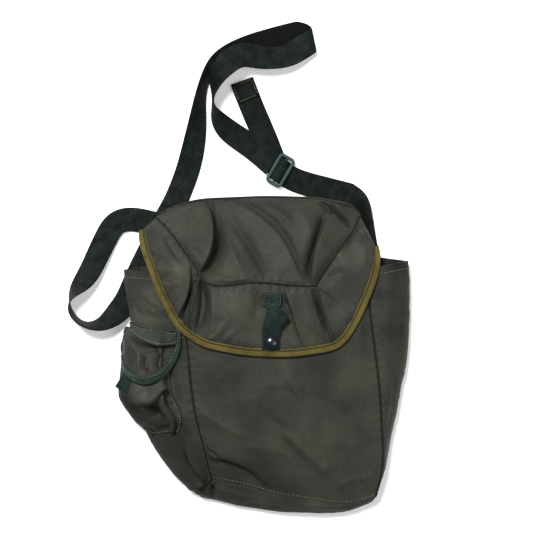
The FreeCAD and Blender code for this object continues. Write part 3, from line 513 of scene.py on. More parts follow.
def tree_of(*grids):
    points, faces = [], []
    for grid in grids:
        faces += quads(grid.shape[0], grid.shape[1], len(points))
        points += grid.reshape(-1, 3).tolist()
    return BVHTree.FromPolygons(points, faces)


def drop(tree, x, y, lift=0.0):
    """The point of a surface under x, y, raised along its normal, and that normal."""
    place, normal = tree.ray_cast(Vector((x, y, 300)), Vector((0, 0, -1)))[:2]
    if place is None:
        place, normal = tree.find_nearest(Vector((x, y, 25)))[:2]
    normal = normal if normal.z >= 0 else -normal
    return np.array(place + normal * lift), np.array(normal)


def patch(tree, corners, rows, cols, lift):
    """Grid of points laid on a surface inside four plan corners, from the top left clockwise."""
    a, b, c, d = (np.array(p, float) for p in corners)
    grid = np.zeros((rows, cols, 3))
    for i in range(rows):
        for j in range(cols):
            t, s = i / (rows - 1), j / (cols - 1)
            x, y = (a * (1 - s) + b * s) * (1 - t) + (d * (1 - s) + c * s) * t
            grid[i, j] = drop(tree, x, y)[0]
    grid[..., 2] = 0.35 * grid[..., 2] + 0.65 * grid[..., 2].mean(axis=1, keepdims=True)
    grid[..., 2] += lift
    return grid


def height_of(tree, x, y):
    place = tree.ray_cast(Vector((x, y, 300)), Vector((0, 0, -1)))[0]
    return None if place is None else place.z


# ---- stitches ----

def side_run(grid, side, distance):
    """A line on the cloth at that distance from one side of the grid, with its normals."""
    u, v = cloth_lengths(grid)
    n = normals(grid)
    if side in "lr":
        reach = u if side == "l" else u[:, -1:] - u
        lines = [(reach[i], grid[i], n[i]) for i in range(grid.shape[0])]
    else:
        reach = v if side == "t" else v[-1:] - v
        lines = [(reach[:, j], grid[:, j], n[:, j]) for j in range(grid.shape[1])]
    places, directions = [], []
    for far, line, normal in lines:
        order = np.argsort(far)
        places.append([np.interp(distance, far[order], line[order, k]) for k in range(3)])
        directions.append([np.interp(distance, far[order], normal[order, k]) for k in range(3)])
    return np.array(places), np.array(directions)


def surface_run(tree, points):
    line = spline(points, np.linspace(0, 1, 40))
    found = [drop(tree, x, y) for x, y in line]
    return np.array([f[0] for f in found]), np.array([f[1] for f in found])


# one stitch: share of its length, width as a share of the thread's, height of its middle
DASH = [(0.0, 0.12, -0.25), (0.12, 0.75, 0.05), (0.5, 1.0, 0.2), (0.88, 0.75, 0.05), (1.0, 0.12, -0.25)]
THREAD_SIDES = 6


def stitches(name, runs, material, body, length=2.3, gap=1.0, width=0.62):
    """Threads lying along seams: each run is a line of points and its normals."""
    points, faces = [], []
    for line, directions in runs:
        run = run_of(line)
        at = 1.2
        while at + length < run[-1]:
            here = []
            for share, wide, high in DASH:
                place = np.array([np.interp(at + share * length, run, line[:, k]) for k in range(3)])
                up = np.array([np.interp(at + share * length, run, directions[:, k]) for k in range(3)])
                here.append((place, up / max(np.linalg.norm(up), 1e-9), wide, high))
            along = here[-1][0] - here[0][0]
            start = len(points)
            for place, up, wide, high in here:
                side = np.cross(along, up)
                side = side / max(np.linalg.norm(side), 1e-9)
                for angle in np.linspace(0, 2 * np.pi, THREAD_SIDES, endpoint=False):
                    points.append(place + side * math.cos(angle) * wide * width / 2
                                  + up * (high + math.sin(angle) * wide * width / 2.4))
            for ring in range(start, start + (len(DASH) - 1) * THREAD_SIDES, THREAD_SIDES):
                for j in range(THREAD_SIDES):
                    k = (j + 1) % THREAD_SIDES
                    faces.append((ring + j, ring + k, ring + THREAD_SIDES + k, ring + THREAD_SIDES + j))
            faces.append(tuple(start + j for j in reversed(range(THREAD_SIDES))))
            faces.append(tuple(len(points) - THREAD_SIDES + j for j in range(THREAD_SIDES)))
            at += length + gap
    obj = mesh_piece(name, points, faces)
    obj.data.materials.append(material)
    if body:
        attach(obj, body)
    return obj


# ---- materials ----

def linear(r, g, b):
    return tuple(((v / 255 + 0.055) / 1.055) ** 2.4 for v in (r, g, b)) + (1.0,)


class Nodes:
    """Small helper that adds and links shader nodes."""

    def __init__(self, name):
        self.material = bpy.data.materials.new(name)
        self.material.use_nodes = True
        self.tree = self.material.node_tree
        self.shader = next(n for n in self.tree.nodes if n.type == "BSDF_PRINCIPLED")
        self.where = self.add("ShaderNodeTexCoord")

    def add(self, kind, **values):
        node = self.tree.nodes.new(kind)
        for key, value in values.items():
            setattr(node, key, value)
        return node

    def join(self, a, b):
        self.tree.links.new(a, b)

    def noise(self, scale, detail=2.0):
        node = self.add("ShaderNodeTexNoise")
        node.inputs["Scale"].default_value = scale
        node.inputs["Detail"].default_value = detail
        self.join(self.where.outputs["Object"], node.inputs["Vector"])
        return node.outputs["Fac"]

    def bands(self, period, direction, coordinates="UV"):
        """Parallel ridges of that period in metres."""
        node = self.add("ShaderNodeTexWave", bands_direction=direction)
        node.inputs["Scale"].default_value = math.pi / 10 / period
        self.join(self.where.outputs[coordinates], node.inputs["Vector"])
        return node.outputs["Fac"]

    def math(self, operation, a, b):
        node = self.add("ShaderNodeMath", operation=operation)
        for socket, value in zip(node.inputs, (a, b)):
            if isinstance(value, (int, float)):
                socket.default_value = value
            else:
                self.join(value, socket)
        return node.outputs[0]

    def ramp(self, source, low, high, first=0.3, last=0.7):
        node = self.add("ShaderNodeValToRGB")
        node.color_ramp.elements[0].position = first
        node.color_ramp.elements[1].position = last
        node.color_ramp.elements[0].color = low
        node.color_ramp.elements[1].color = high
        self.join(source, node.inputs["Fac"])
        return node.outputs["Color"]

    def blend(self, factor, a, b):
        node = self.add("ShaderNodeMixRGB")
        self.join(factor, node.inputs["Fac"])
        for socket, value in ((node.inputs["Color1"], a), (node.inputs["Color2"], b)):
            if isinstance(value, tuple):
                socket.default_value = value
            else:
                self.join(value, socket)
        return node.outputs["Color"]

    def product(self, a, b, share):
        """The first colour, multiplied by the second one to that share."""
        node = self.add("ShaderNodeMixRGB", blend_type="MULTIPLY")
        node.inputs["Fac"].default_value = share
        self.join(a, node.inputs["Color1"])
        self.join(b, node.inputs["Color2"])
        return node.outputs["Color"]

    def painted(self, layer, share):
        """How strongly a layer of the mesh shows, as a factor."""
        attribute = self.add("ShaderNodeAttribute", attribute_name=layer)
        return self.math("MULTIPLY", attribute.outputs["Fac"], share)

    def bump(self, height, distance):
        node = self.add("ShaderNodeBump")
        node.inputs["Distance"].default_value = distance
        self.join(height, node.inputs["Height"])
        self.join(node.outputs["Normal"], self.shader.inputs["Normal"])

    def finish(self, colour, roughness, specular=0.35, sheen=0.0, coat=0.0):
        self.join(colour, self.shader.inputs["Base Color"])
        if isinstance(roughness, float):
            self.shader.inputs["Roughness"].default_value = roughness
        else:
            self.join(roughness, self.shader.inputs["Roughness"])
        self.shader.inputs["Specular IOR Level"].default_value = specular
        self.shader.inputs["Sheen Weight"].default_value = sheen
        self.shader.inputs["Sheen Roughness"].default_value = 0.45
        self.shader.inputs["Coat Weight"].default_value = coat
        return self.material


BLACK, WHITE = (0, 0, 0, 1), (1, 1, 1, 1)
# colour and greatest share of the painted shade in fold valleys, hollows, seams and dark spots of the nylon
PAINTED_SHADE_COLOUR = linear(8, 9, 7)
PAINTED_SHADE_SHARE = 0.82
# greatest share of the painted light, in the worn colour, on ridges and bright spots of the nylon
PAINTED_LIGHT_SHARE = 0.3
# near-black colour and greatest share of the painted shade on webbing
WEB_SHADE_COLOUR = linear(3, 4, 3)
WEB_SHADE_SHARE = 0.9


def nylon(name, dark, light, worn, roughness=0.5):
    """Coated plain-weave nylon: mottled, finely woven, paler where it is rubbed, with painted light on its
    ridges and painted shade in its fold valleys, hollows and seams.
    """
    m = Nodes(name)
    base = m.ramp(m.noise(22.0, 4.0), dark, light, 0.35, 0.68)
    fibre = m.ramp(m.noise(700.0, 2.0), (0.72, 0.72, 0.72, 1), (1.24, 1.24, 1.22, 1), 0.3, 0.7)
    colour = m.product(base, fibre, 0.6)
    patchy = m.painted("wear", m.ramp(m.noise(240.0, 6.0), (0.15, 0.15, 0.15, 1), WHITE, 0.3, 0.8))
    scuffs = m.ramp(m.noise(420.0, 3.0), BLACK, (0.35, 0.35, 0.35, 1), 0.68, 0.78)
    rubbed = m.math("ADD", m.math("MULTIPLY", patchy, 0.3), m.math("MULTIPLY", scuffs, 0.3))
    colour = m.blend(rubbed, colour, worn)
    # painted light on ridges and bright spots, in the worn colour
    colour = m.blend(m.painted("painted_light", PAINTED_LIGHT_SHARE), colour, worn)
    # painted shade in fold valleys, hollows, seams and dark spots
    colour = m.blend(m.painted("painted_shade", PAINTED_SHADE_SHARE), colour, PAINTED_SHADE_COLOUR)
    weave = m.math("MULTIPLY", m.bands(0.0009, "X"), m.bands(0.0009, "Y"))
    height = m.math("ADD", m.math("MULTIPLY", weave, 0.35), m.math("MULTIPLY", m.noise(350.0, 3.0), 0.8))
    m.bump(height, 0.00022)
    rough = m.math("ADD", m.math("MULTIPLY", m.noise(60.0, 3.0), 0.2), roughness - 0.1)
    return m.finish(colour, rough, specular=0.07, sheen=0.02)


def tape_cloth(name, dark, light, edge):
    """Cotton bias tape: fine twill, uneven dye, rubbed spots, and painted shade along the channel under its
    stitches.
    """
    m = Nodes(name)
    base = m.ramp(m.noise(70.0, 4.0), dark, light, 0.32, 0.7)
    scuffs = m.ramp(m.noise(300.0, 4.0), BLACK, WHITE, 0.58, 0.75)
    colour = m.blend(m.math("MULTIPLY", scuffs, 0.4), base, edge)
    parts = m.add("ShaderNodeSeparateXYZ")
    m.join(m.where.outputs["UV"], parts.inputs[0])
    around = m.math("MULTIPLY", parts.outputs["X"], 1 / MM)
    off_line = m.math("ABSOLUTE", m.math("SUBTRACT", around, CHANNEL_AT), 0.0)
    # painted shade: a dark line where the stitched channel would hold shade
    channel = m.ramp(off_line, (0.75, 0.75, 0.75, 1), BLACK, 0.35, 0.95)
    colour = m.blend(channel, colour, tuple(0.35 * c for c in dark[:3]) + (1.0,))
    twill = m.math("MULTIPLY", m.bands(0.0007, "DIAGONAL"), m.bands(0.0006, "Y"))
    m.bump(m.math("ADD", twill, m.math("MULTIPLY", m.noise(500.0, 2.0), 0.7)), 0.00018)
    return m.finish(colour, 0.78, specular=0.2, sheen=0.1)


def web_cloth(name, dark, light):
    """Ribbed webbing: yarns along the strap between its cross ribs, with painted shade in the furrows between
    ribs, painted light on their crowns, and painted shade wherever its shade layer is set.
    """
    m = Nodes(name)
    base = m.ramp(m.noise(120.0, 3.0), dark, light, 0.35, 0.7)
    # the cross ribs are painted darker in their furrows and lighter on their crowns: painted shade and
    # painted light
    rib = m.ramp(m.bands(RIB * MM, "Y"), (0.25, 0.25, 0.25, 1), (1.5, 1.5, 1.5, 1), 0.1, 0.9)
    # painted shade toward near-black wherever the webbing's shade layer is set
    colour = m.blend(m.painted("painted_shade", WEB_SHADE_SHARE), m.product(base, rib, 0.75), WEB_SHADE_COLOUR)
    yarn = m.math("MULTIPLY", m.bands(0.0011, "X"), 0.6)
    m.bump(m.math("ADD", yarn, m.math("MULTIPLY", m.noise(700.0, 2.0), 0.5)), 0.0002)
    return m.finish(colour, 0.6, specular=0.06)


def thread(name, dark, light):
    m = Nodes(name)
    m.bump(m.bands(0.0006, "DIAGONAL", "Object"), 0.0001)
    return m.finish(m.ramp(m.noise(260.0, 2.0), dark, light, 0.3, 0.7), 0.7, specular=0.25)


def paint(name, dark, light, worn, roughness, coat):
    """Stoved enamel on metal with slight orange peel and a few chips."""
    m = Nodes(name)
    base = m.ramp(m.noise(180.0, 3.0), dark, light, 0.3, 0.7)
    chips = m.ramp(m.noise(420.0, 4.0), BLACK, WHITE, 0.66, 0.72)
    m.bump(m.noise(900.0, 2.0), 0.00006)
    return m.finish(m.blend(chips, base, worn), roughness, specular=0.5, coat=coat)


BODY = nylon("body_nylon_cloth", linear(39, 41, 36), linear(56, 56, 49), linear(98, 104, 91))
FLAP = nylon("flap_nylon_cloth", linear(42, 43, 39), linear(57, 57, 50), linear(104, 108, 96), 0.44)
POCKET = nylon("pocket_nylon_cloth", linear(37, 39, 36), linear(58, 57, 50), linear(102, 106, 94))
STRIP = nylon("strip_nylon_cloth", linear(38, 41, 36), linear(54, 59, 52), linear(88, 102, 90))
# a darker copy of the bag's nylon: painted shade for the back panel under the bag and the hems in the mouth
SHADED_NYLON = nylon("shaded_nylon_cloth", linear(30, 31, 28), linear(40, 41, 37), linear(50, 52, 46))
GOLD = tape_cloth("gold_bias_tape", linear(66, 57, 23), linear(91, 80, 35), linear(122, 110, 58))
GREEN = tape_cloth("green_bias_tape", linear(19, 36, 27), linear(31, 52, 40), linear(56, 80, 64))
WEB = web_cloth("strap_web", linear(13, 19, 16), linear(28, 36, 31))
TAB_WEB = web_cloth("tab_web", linear(20, 31, 28), linear(32, 47, 43))
GREEN_THREAD = thread("green_thread", linear(74, 90, 74), linear(108, 122, 102))
FLAP_THREAD = thread("flap_thread", linear(38, 42, 36), linear(76, 78, 66))
DARK_THREAD = thread("dark_thread", linear(26, 36, 20), linear(52, 56, 30))
OLIVE_THREAD = thread("olive_thread", linear(80, 80, 42), linear(112, 110, 64))
TEAL = paint("slider_enamel", linear(8, 32, 37), linear(14, 44, 50), linear(28, 60, 65), 0.62, 0.0)
LACQUER = paint("snap_lacquer_gloss", linear(6, 9, 14), linear(10, 15, 22), (0.014, 0.018, 0.022, 1.0),
                0.26, 0.35)


def place(obj, body, slot, *nodes):
    if nodes:
        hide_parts(*nodes)
    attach(obj, body)
    return obj


def at_pocket_seam(obj, slot, *nodes):
    """Hides the CAD parts that a pocket flap piece stands for and bakes the piece's placement into its mesh.
    """
    if nodes:
        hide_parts(*nodes)
    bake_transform(obj)


# ---- body ----

def gusset_section(seam, fold, back, shares):
    """From the front seam over the outer fold and back under to the back seam."""
    points = []
    for s in (0.0, 0.2, 0.4, 0.6, 0.78, 0.9, 0.97, 1.0):
        plan = seam + (fold - seam) * s
        points.append((plan[0], plan[1], fold[2] + (seam[2] - fold[2]) * (1 - s * s) ** 0.6))
    for s, z in ((0.03, 0.72 * fold[2]), (0.08, 0.48 * fold[2]), (0.2, 3.4), (0.5, 2.7), (0.86, 2.3)):
        plan = fold + (back - fold) * s
        points.append((plan[0], plan[1], z))
    points.append(tuple(back))
    section = spline(points, shares)
    section[:, 2] = np.maximum(section[:, 2], UNDERSIDE)
    return section


def gusset(seam, fold, back, down, across):
    rows = zip(spline(seam, down), spline(fold, down), spline(back, down))
    return np.array([gusset_section(a, b, c, across) for a, b, c in rows])


def make_body():
    down = even(165, 215)
    across = even(135, 190)
    section = even(110, 150)
    left = gusset(FRONT_LEFT_SEAM, LEFT_FOLD, BACK_LEFT_SEAM, down, section)
    right = gusset(FRONT_RIGHT_SEAM, RIGHT_FOLD, BACK_RIGHT_SEAM, down, section)
    front = coons(spline(MOUTH_FRONT, across), spline(FRONT_BOTTOM_SEAM, across),
                  spline(FRONT_LEFT_SEAM, down), spline(FRONT_RIGHT_SEAM, down), down, across)
    crown = np.sin(np.pi * down)[:, None] * np.sin(np.pi * across)[None]
    front[..., 2] += 2.0 * crown
    back_row = left[-1, -1] + (right[-1, -1] - left[-1, -1]) * across[:, None]
    bottom = coons(front[-1], back_row, left[-1], right[-1], section, across)
    swell = np.sin(np.pi * section)[:, None] ** 0.8 * np.sin(np.pi * across)[None] ** 0.8
    bottom[..., 1] -= 13.0 * swell
    bottom[..., 2] = np.maximum(bottom[..., 2], UNDERSIDE)
    left_out = left[:, ::-1]
    front, front_shade = folded(front, FRONT_FOLDS, 1.0, rough=0.6, seams="lr")
    left_out, left_shade = folded(left_out, LEFT_GUSSET_FOLDS, 2.0, rough=1.0, seams="br")
    right, right_shade = folded(right, RIGHT_GUSSET_FOLDS, 3.0, rough=1.0, seams="bl")
    bottom, bottom_shade = folded(bottom, BOTTOM_FOLDS, 4.0, rough=1.0, seams="lr")
    for grid in (left_out, right, bottom):
        grid[..., 2] = np.maximum(grid[..., 2], RESTING)
    for name, grid, shade, node in (("front_panel_cloth", front, front_shade, "front_panel"),
                                    ("left_gusset_cloth", left_out, left_shade, "left_gusset"),
                                    ("right_gusset_cloth", right, right_shade, "right_gusset"),
                                    ("bottom_cloth", bottom, bottom_shade, "bottom_panel")):
        place(shell(name, grid, BODY, shade=shade), "bag", "body_nylon", node)
    make_back(left_out[:, 0], right[:, -1], down)
    make_hems({"front": front, "left": left_out, "right": right})
    runs = [side_run(front, "l", 2.2), side_run(front, "r", 2.2), side_run(left_out, "r", 2.2),
            side_run(right, "l", 2.2)]
    stitches("body_seam_thread", runs, FLAP_THREAD, "bag", 2.0, 1.2, 0.5)
    stitches("bottom_seam_thread", [side_run(front, "b", 2.4)], GREEN_THREAD, "bag", 2.4, 1.6)
    return left_out


def make_back(left, right, down):
    """The back panel, and its run past the mouth up to the flap's fold."""
    across = even(60, 170)
    rows = []
    for share in np.linspace(1, 0, 26)[:-1]:
        lift = smooth(np.array(share / 0.16)) * 4.2
        row = left[0] + (right[0] - left[0]) * across[:, None]
        row[:, 1] += (192.5 - row[:, 1]) * share
        row[:, 2] = UNDERSIDE + lift
        rows.append(row)
    for a, b in zip(left, right):
        row = a + (b - a) * across[:, None]
        row[:, 2] = UNDERSIDE
        rows.append(row)
    grid = np.array(rows)
    grid[..., 2] += CLOTH
    bumps = 0.5 * perlin(grid, 24.0, 6.0) * smooth((grid[..., 1] - 146) / 10)
    grid[..., 2] += np.abs(bumps)
    # the back panel in the darker nylon: painted shade under the bag and in the mouth
    place(shell("back_cloth", grid, SHADED_NYLON), "bag", "body_nylon", "back_panel")


def make_hems(panels):
    """Turned-in edges of the mouth, each with its row of stitches."""
    hem_runs = []
    for name, grid in panels.items():
        n = normals(grid)
        keep = cloth_lengths(grid)[1].mean(axis=1) < 12.0
        strip = grid[keep] - n[keep] * (CLOTH + HEM_GAP)
        if name == "right":
            strip = strip[:, 2:int(grid.shape[1] * 0.62)]
        elif name == "left":
            strip = strip[:, int(grid.shape[1] * 0.38):-2]
        # the hems in the darker nylon: painted shade in the mouth
        place(shell("mouth_hem_cloth_" + name, strip, SHADED_NYLON, 1.0), "bag", "body_nylon", "mouth_hem_" + name)
        hem_runs.append(side_run(grid, "t", 7.5))
    stitches("mouth_hem_thread", hem_runs, GREEN_THREAD, "bag")


# ---- flap ----

def tape_frame(points, inward):
    """Along, inward and upward directions of an edge; inward is to the left of it for 1, right for -1."""
    along = np.gradient(points, axis=0)
    side = unit(np.column_stack((-along[:, 1], along[:, 0], np.zeros(len(along)))) * inward)
    return side, unit(np.cross(along, side) * inward)


def inset(points, distance):
    side = tape_frame(points, 1)[0]
    return points + side * distance


def tape(name, points, inward, width, thickness, material, seed, side=None):
    """Bias tape folded round an edge. The points are its outer edge, at mid thickness."""
    flat_side, up = tape_frame(points, inward)
    if side is None:
        side = flat_side
    else:
        up = unit(np.cross(np.gradient(points, axis=0), side) * inward)
    half = thickness / 2
    width = np.broadcast_to(width, (len(points),))
    section = [(1.0, 0.35), (0.98, 0.85), (0.8, 1.0), (0.5, 1.02), (0.22, 1.0), (0.08, 0.82), (0.0, 0.25),
               (0.0, -0.25), (0.08, -0.82), (0.3, -1.0), (0.7, -1.0), (0.98, -0.85), (1.0, -0.35)]
    run = run_of(points)
    wobble = np.array([noise.noise(Vector((r / 9, seed, 0))) for r in run])
    swell = 1 + 0.16 * np.array([noise.noise(Vector((r / 5, seed, 7))) for r in run])
    loops = []
    for i, point in enumerate(points):
        loops.append([point + side[i] * (a * width[i] + (0.5 * wobble[i] if a > 0.9 else 0))
                      + up[i] * (b * half * (swell[i] if b > 0 else 1)) for a, b in section])
    around = np.linspace(0, TAPE_ROUND, len(section))
    obj = loft(name, loops, material, run, around)
    line = points + side * (width[:, None] - 2.0) + up * (half * 1.02)
    return obj, (line, up)


def divided(curve, corner, upper, lower):
    """The two stretches of a curve, before and after its point nearest the corner, at those shares."""
    at = int(np.argmin(np.linalg.norm(curve - np.array(corner), axis=1)))
    parts = []
    for part, shares in ((curve[:at + 1], upper), (curve[at:], lower)):
        run = run_of(part)
        parts.append(np.column_stack([np.interp(shares, run / run[-1], part[:, k]) for k in range(3)]))
    return parts


def make_flap():
    across = even(130, 170)
    down = even(84, 90)
    low = even(62, 62)
    out = even(44, 42)
    rim = spline(FLAP_RIM, np.linspace(0, 1, 260))
    relax(rim, RIM_SMOOTHING)
    length = run_of(rim)[:, None]
    edge = inset(rim, 3.0 + 4.0 * smooth(length / 12) * smooth((length[-1] - length) / 12))
    left_corner = int(np.argmin(np.hypot(rim[:, 0] + 80, rim[:, 1] - 53)))
    right_corner = int(np.argmin(np.hypot(rim[:, 0] - 68, rim[:, 1] - 40)))
    front_edge = spline(edge[left_corner:right_corner + 1:6], across)
    left_edge = edge[:left_corner + 1]
    right_edge = edge[right_corner:][::-1]
    pleat_left = PLEAT_LEFT + [tuple(front_edge[0])]
    pleat_right = PLEAT_RIGHT + [tuple(front_edge[-1])]
    dense = np.linspace(0, 1, 800)
    seam_left = EAR_SEAM_LEFT[:-1] + pleat_left
    seam_right = EAR_SEAM_RIGHT[:-1] + pleat_right
    top_left, front_left = divided(spline(seam_left, dense), EAR_SEAM_LEFT[-1], down, low)
    top_right, front_right = divided(spline(seam_right, dense), EAR_SEAM_RIGHT[-1], down, low)
    flap_seam = spline(FLAP_SEAM, across)
    flap_seam[[0, -1]] = front_left[0], front_right[0]
    top = coons(spline(FLAP_FOLD, across), flap_seam, top_left, top_right, down, across)
    front = coons(flap_seam, front_edge, front_left, front_right, low, across)
    ear_down = even(140, 150)
    left_inner = spline(seam_left, ear_down)
    right_inner = spline(seam_right, ear_down)
    left_outer = spline(left_edge[::6].tolist() + [left_edge[-1]], ear_down)
    right_outer = spline(right_edge[::6].tolist() + [right_edge[-1]], ear_down)
    left = left_outer[:, None] + (left_inner - left_outer)[:, None] * out[None, :, None]
    right = right_inner[:, None] + (right_outer - right_inner)[:, None] * out[None, :, None]
    for ear in (left, right):
        bulge = np.sin(np.pi * out)[None] * np.sin(np.pi * ear_down)[:, None] ** 0.7
        ear += normals(ear) * (BULGE * bulge)[..., None]
    top, top_shade = folded(top, TOP_FOLDS, 11.0, rough=0.75, reach=5.0, seams="blr", pucker=0.5)
    front, front_shade = folded(front, FRONT_FLAP_FOLDS, 12.0, rough=0.7, reach=3.5, seams="tb", pucker=0.6)
    left, left_shade = folded(left, LEFT_EAR_FOLDS, 13.0, rough=0.8, reach=3.5, seams="lr", pucker=0.8)
    right, right_shade = folded(right, RIGHT_EAR_FOLDS, 14.0, rough=0.8, reach=3.5, seams="lr", pucker=0.6)
    for edge_column, next_column in ((0, 2), (-1, -3)):
        outward = front[:, edge_column] - front[:, next_column]
        outward[:, 2] = 0
        front[:, edge_column] += unit(outward) * ALLOWANCE_OUT - np.array((0, 0, ALLOWANCE_DOWN))
    for name, grid, shade, node in (("flap_top_cloth", top, top_shade, "flap_top_panel"),
                                    ("flap_front_cloth", front, front_shade, "flap_front_panel"),
                                    ("flap_ear_cloth_left", left, left_shade, "flap_left_ear"),
                                    ("flap_ear_cloth_right", right, right_shade, "flap_right_ear")):
        place(shell(name, grid, FLAP, shade=shade), "flap", "flap_nylon", node)
    rim[:, 2] -= 0.6
    length = run_of(rim)
    width = 7.0 + 1.4 * smooth(length / 16) * smooth((length[-1] - length) / 16)
    obj, run = tape("flap_rim_tape", rim, 1, width, 2.6, GOLD, 3.0)
    place(obj, "flap", "gold_binding", "flap_binding_left", "flap_binding_front", "flap_binding_right")
    stitches("flap_rim_thread", [run], DARK_THREAD, "flap", 2.6, 1.0, 0.95)
    runs = [side_run(top, side, 1.9) for side in "lrb"]
    runs += [side_run(front, "t", 1.9), side_run(left, "r", 2.0), side_run(right, "l", 2.0)]
    stitches("flap_seam_thread", runs, FLAP_THREAD, "flap", 2.2, 1.1, 0.6)
    make_flap_roll(top[0], front)
    return front


def make_flap_roll(fold_row, front):
    """The cloth that runs on from the back panel round the fold into the flap."""
    count = len(fold_row)
    share = np.linspace(0, 1, count)
    low = np.column_stack((-84 + 168 * share, np.full(count, 191.5), np.full(count, 5.4)))
    rows = []
    for t in np.linspace(0, 1, 14):
        row = low + (fold_row - low) * t
        row[:, 1] += 3.2 * math.sin(math.pi * t)
        row[:, 2] -= 1.2 * math.sin(math.pi * t) * (1 - t)
        rows.append(row)
    obj = shell("flap_fold_cloth", np.array(rows)[::-1], FLAP, 1.1)
    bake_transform(obj)


# ---- closing tab and snap ----

def web_section(width):
    """Half the webbing's thickness is 1 here."""
    half = width / 2
    upper = [(half - 0.35, 0.8), (half - 1.6, 1.0), (half * 0.4, 1.0), (-half * 0.4, 1.0), (-half + 1.6, 1.0),
             (-half + 0.35, 0.8)]
    return [(half, 0.0)] + upper + [(-half, 0.0)] + [(x, -z) for x, z in reversed(upper)]


def rolled(stations, turned=1.0):
    """Centres and cross directions of webbing that follows x, y, z, roll stations."""
    stations = np.array(stations, float)
    length = run_of(stations)[-1]
    path = spline(stations, np.linspace(0, 1, int(length / ROLL_STEP) + 2))
    centres = path[:, :3]
    along = np.gradient(centres, axis=0)
    flat = unit(np.column_stack((-along[:, 1], along[:, 0], np.zeros(len(along)))))
    roll = np.radians(path[:, 3])
    across = flat * np.cos(roll)[:, None] + np.array([0, 0, 1.0]) * np.sin(roll)[:, None]
    return centres, across * turned


def web_loops(centres, across, width, half, start=0.0):
    """Sections of ribbed webbing."""
    up = unit(np.cross(across, np.gradient(centres, axis=0)))
    run = run_of(centres) + start
    section = web_section(width)
    loops = []
    for centre, side, normal, at in zip(centres, across, up, run):
        thick = half - RIB_SINK + RIB_HEIGHT * abs(math.sin(math.pi * at / RIB))
        loops.append([centre + side * a + normal * (b * thick) for a, b in section])
    return loops, run


def webbing(name, centres, across, material, width=WEB_WIDTH, half=0.72, start=0.0, shade=None):
    loops, run = web_loops(centres, across, width, half, start)
    half_width = width / 2
    around = [x + half_width for x, z in web_section(width)]
    return loft(name, loops, material, run, around, shade=shade)


def box_run(tree, corners, lift):
    """Stitch line round a closed plan outline on a surface."""
    line = []
    for a, b in zip(corners, corners[1:] + corners[:1]):
        for s in np.linspace(0, 1, 12):
            x, y = a[0] + (b[0] - a[0]) * s, a[1] + (b[1] - a[1]) * s
            line.append(drop(tree, x, y, lift)[0])
    line = np.array(line)
    return line, np.tile((0.0, 0.0, 1.0), (len(line), 1))


def bent(points):
    """A folded edge: straight runs with small rounded corners."""
    points = np.array(points, float)
    run = run_of(points)
    at = np.linspace(0, run[-1], 70)
    line = np.column_stack([np.interp(at, run, points[:, k]) for k in range(3)])
    relax(line, 3)
    return line


def make_tab(front):
    surface = tree_of(front)
    anchor = patch(surface, [(-4, 99), (15.5, 99), (15.5, 85.5), (-4, 85.5)], 28, 16, 2.0)
    low = patch(surface, [(-4.5, 62), (13.5, 62), (13.5, 41), (-4.5, 41)], 40, 14, 2.0)
    place(shell("tab_anchor_web", anchor, TAB_WEB, 1.5), "flap", "tab_webbing", "flap_tab_anchor")
    place(shell("tab_end_web", low, TAB_WEB, 1.5), "flap", "tab_webbing", "flap_tab_end")
    top = float(anchor[-1, :, 2].mean())
    base = float(low[0, :, 2].mean())
    left = bent([(-2.0, 87, top + 0.6), (1.0, 82, top + 2.4),
                 (-3.8, 66, base + 3.4), (-4.2, 55, base + 0.9)])
    right = bent([(11.5, 87, top + 0.6), (22.8, 75, top + 6.5),
                  (15.2, 63.5, base + 3.4), (13.2, 55, base + 0.9)])
    share = np.linspace(0, 1, 20)[None, :, None]
    twist = left[:, None] * (1 - share) + right[:, None] * share
    twist[..., 2] += 1.6 * np.sin(np.pi * share[..., 0]) * np.sin(np.pi * np.linspace(0, 1, 70))[:, None]
    v = cloth_lengths(twist)[1]
    twist[..., 2] += 0.2 * np.abs(np.sin(np.pi * v / RIB))
    place(shell("tab_twist_web", twist, TAB_WEB, 1.2), "flap", "tab_webbing", "flap_tab")
    on_anchor = tree_of(anchor)
    smile = [(-0.5, 90.5), (2, 88.6), (5.8, 88), (9.6, 88.6), (12.2, 90.5)]
    box = box_run(on_anchor, [(-2.6, 97.4), (14.1, 97.4), (14.1, 87), (-2.6, 87)], 0.1)
    runs = [box, surface_run(on_anchor, smile)]
    stitches("tab_thread", runs, GREEN_THREAD, "flap", 1.7, 0.9, 0.5)


def lathe(name, profile, centre, material, segments=64):
    """A turned piece: the profile is radius and height from the axis outwards."""
    points, faces = [], []
    rings = [p for p in profile if p[0] > 0]
    for radius, z in rings:
        for k in range(segments):
            angle = 2 * math.pi * k / segments
            points.append((centre[0] + radius * math.cos(angle), centre[1] + radius * math.sin(angle),
                           centre[2] + z))
    for i in range(len(rings) - 1):
        for k in range(segments):
            m = (k + 1) % segments
            faces.append((i * segments + k, i * segments + m, (i + 1) * segments + m, (i + 1) * segments + k))
    for ring, z in ((0, profile[0][1]), (len(rings) - 1, profile[-1][1])):
        points.append((centre[0], centre[1], centre[2] + z))
        hub = len(points) - 1
        for k in range(segments):
            m = (k + 1) % segments
            edge = (ring * segments + k, ring * segments + m)
            faces.append((hub,) + (edge if ring else edge[::-1]))
    obj = mesh_piece(name, points, faces)
    obj.data.materials.append(material)
    return obj


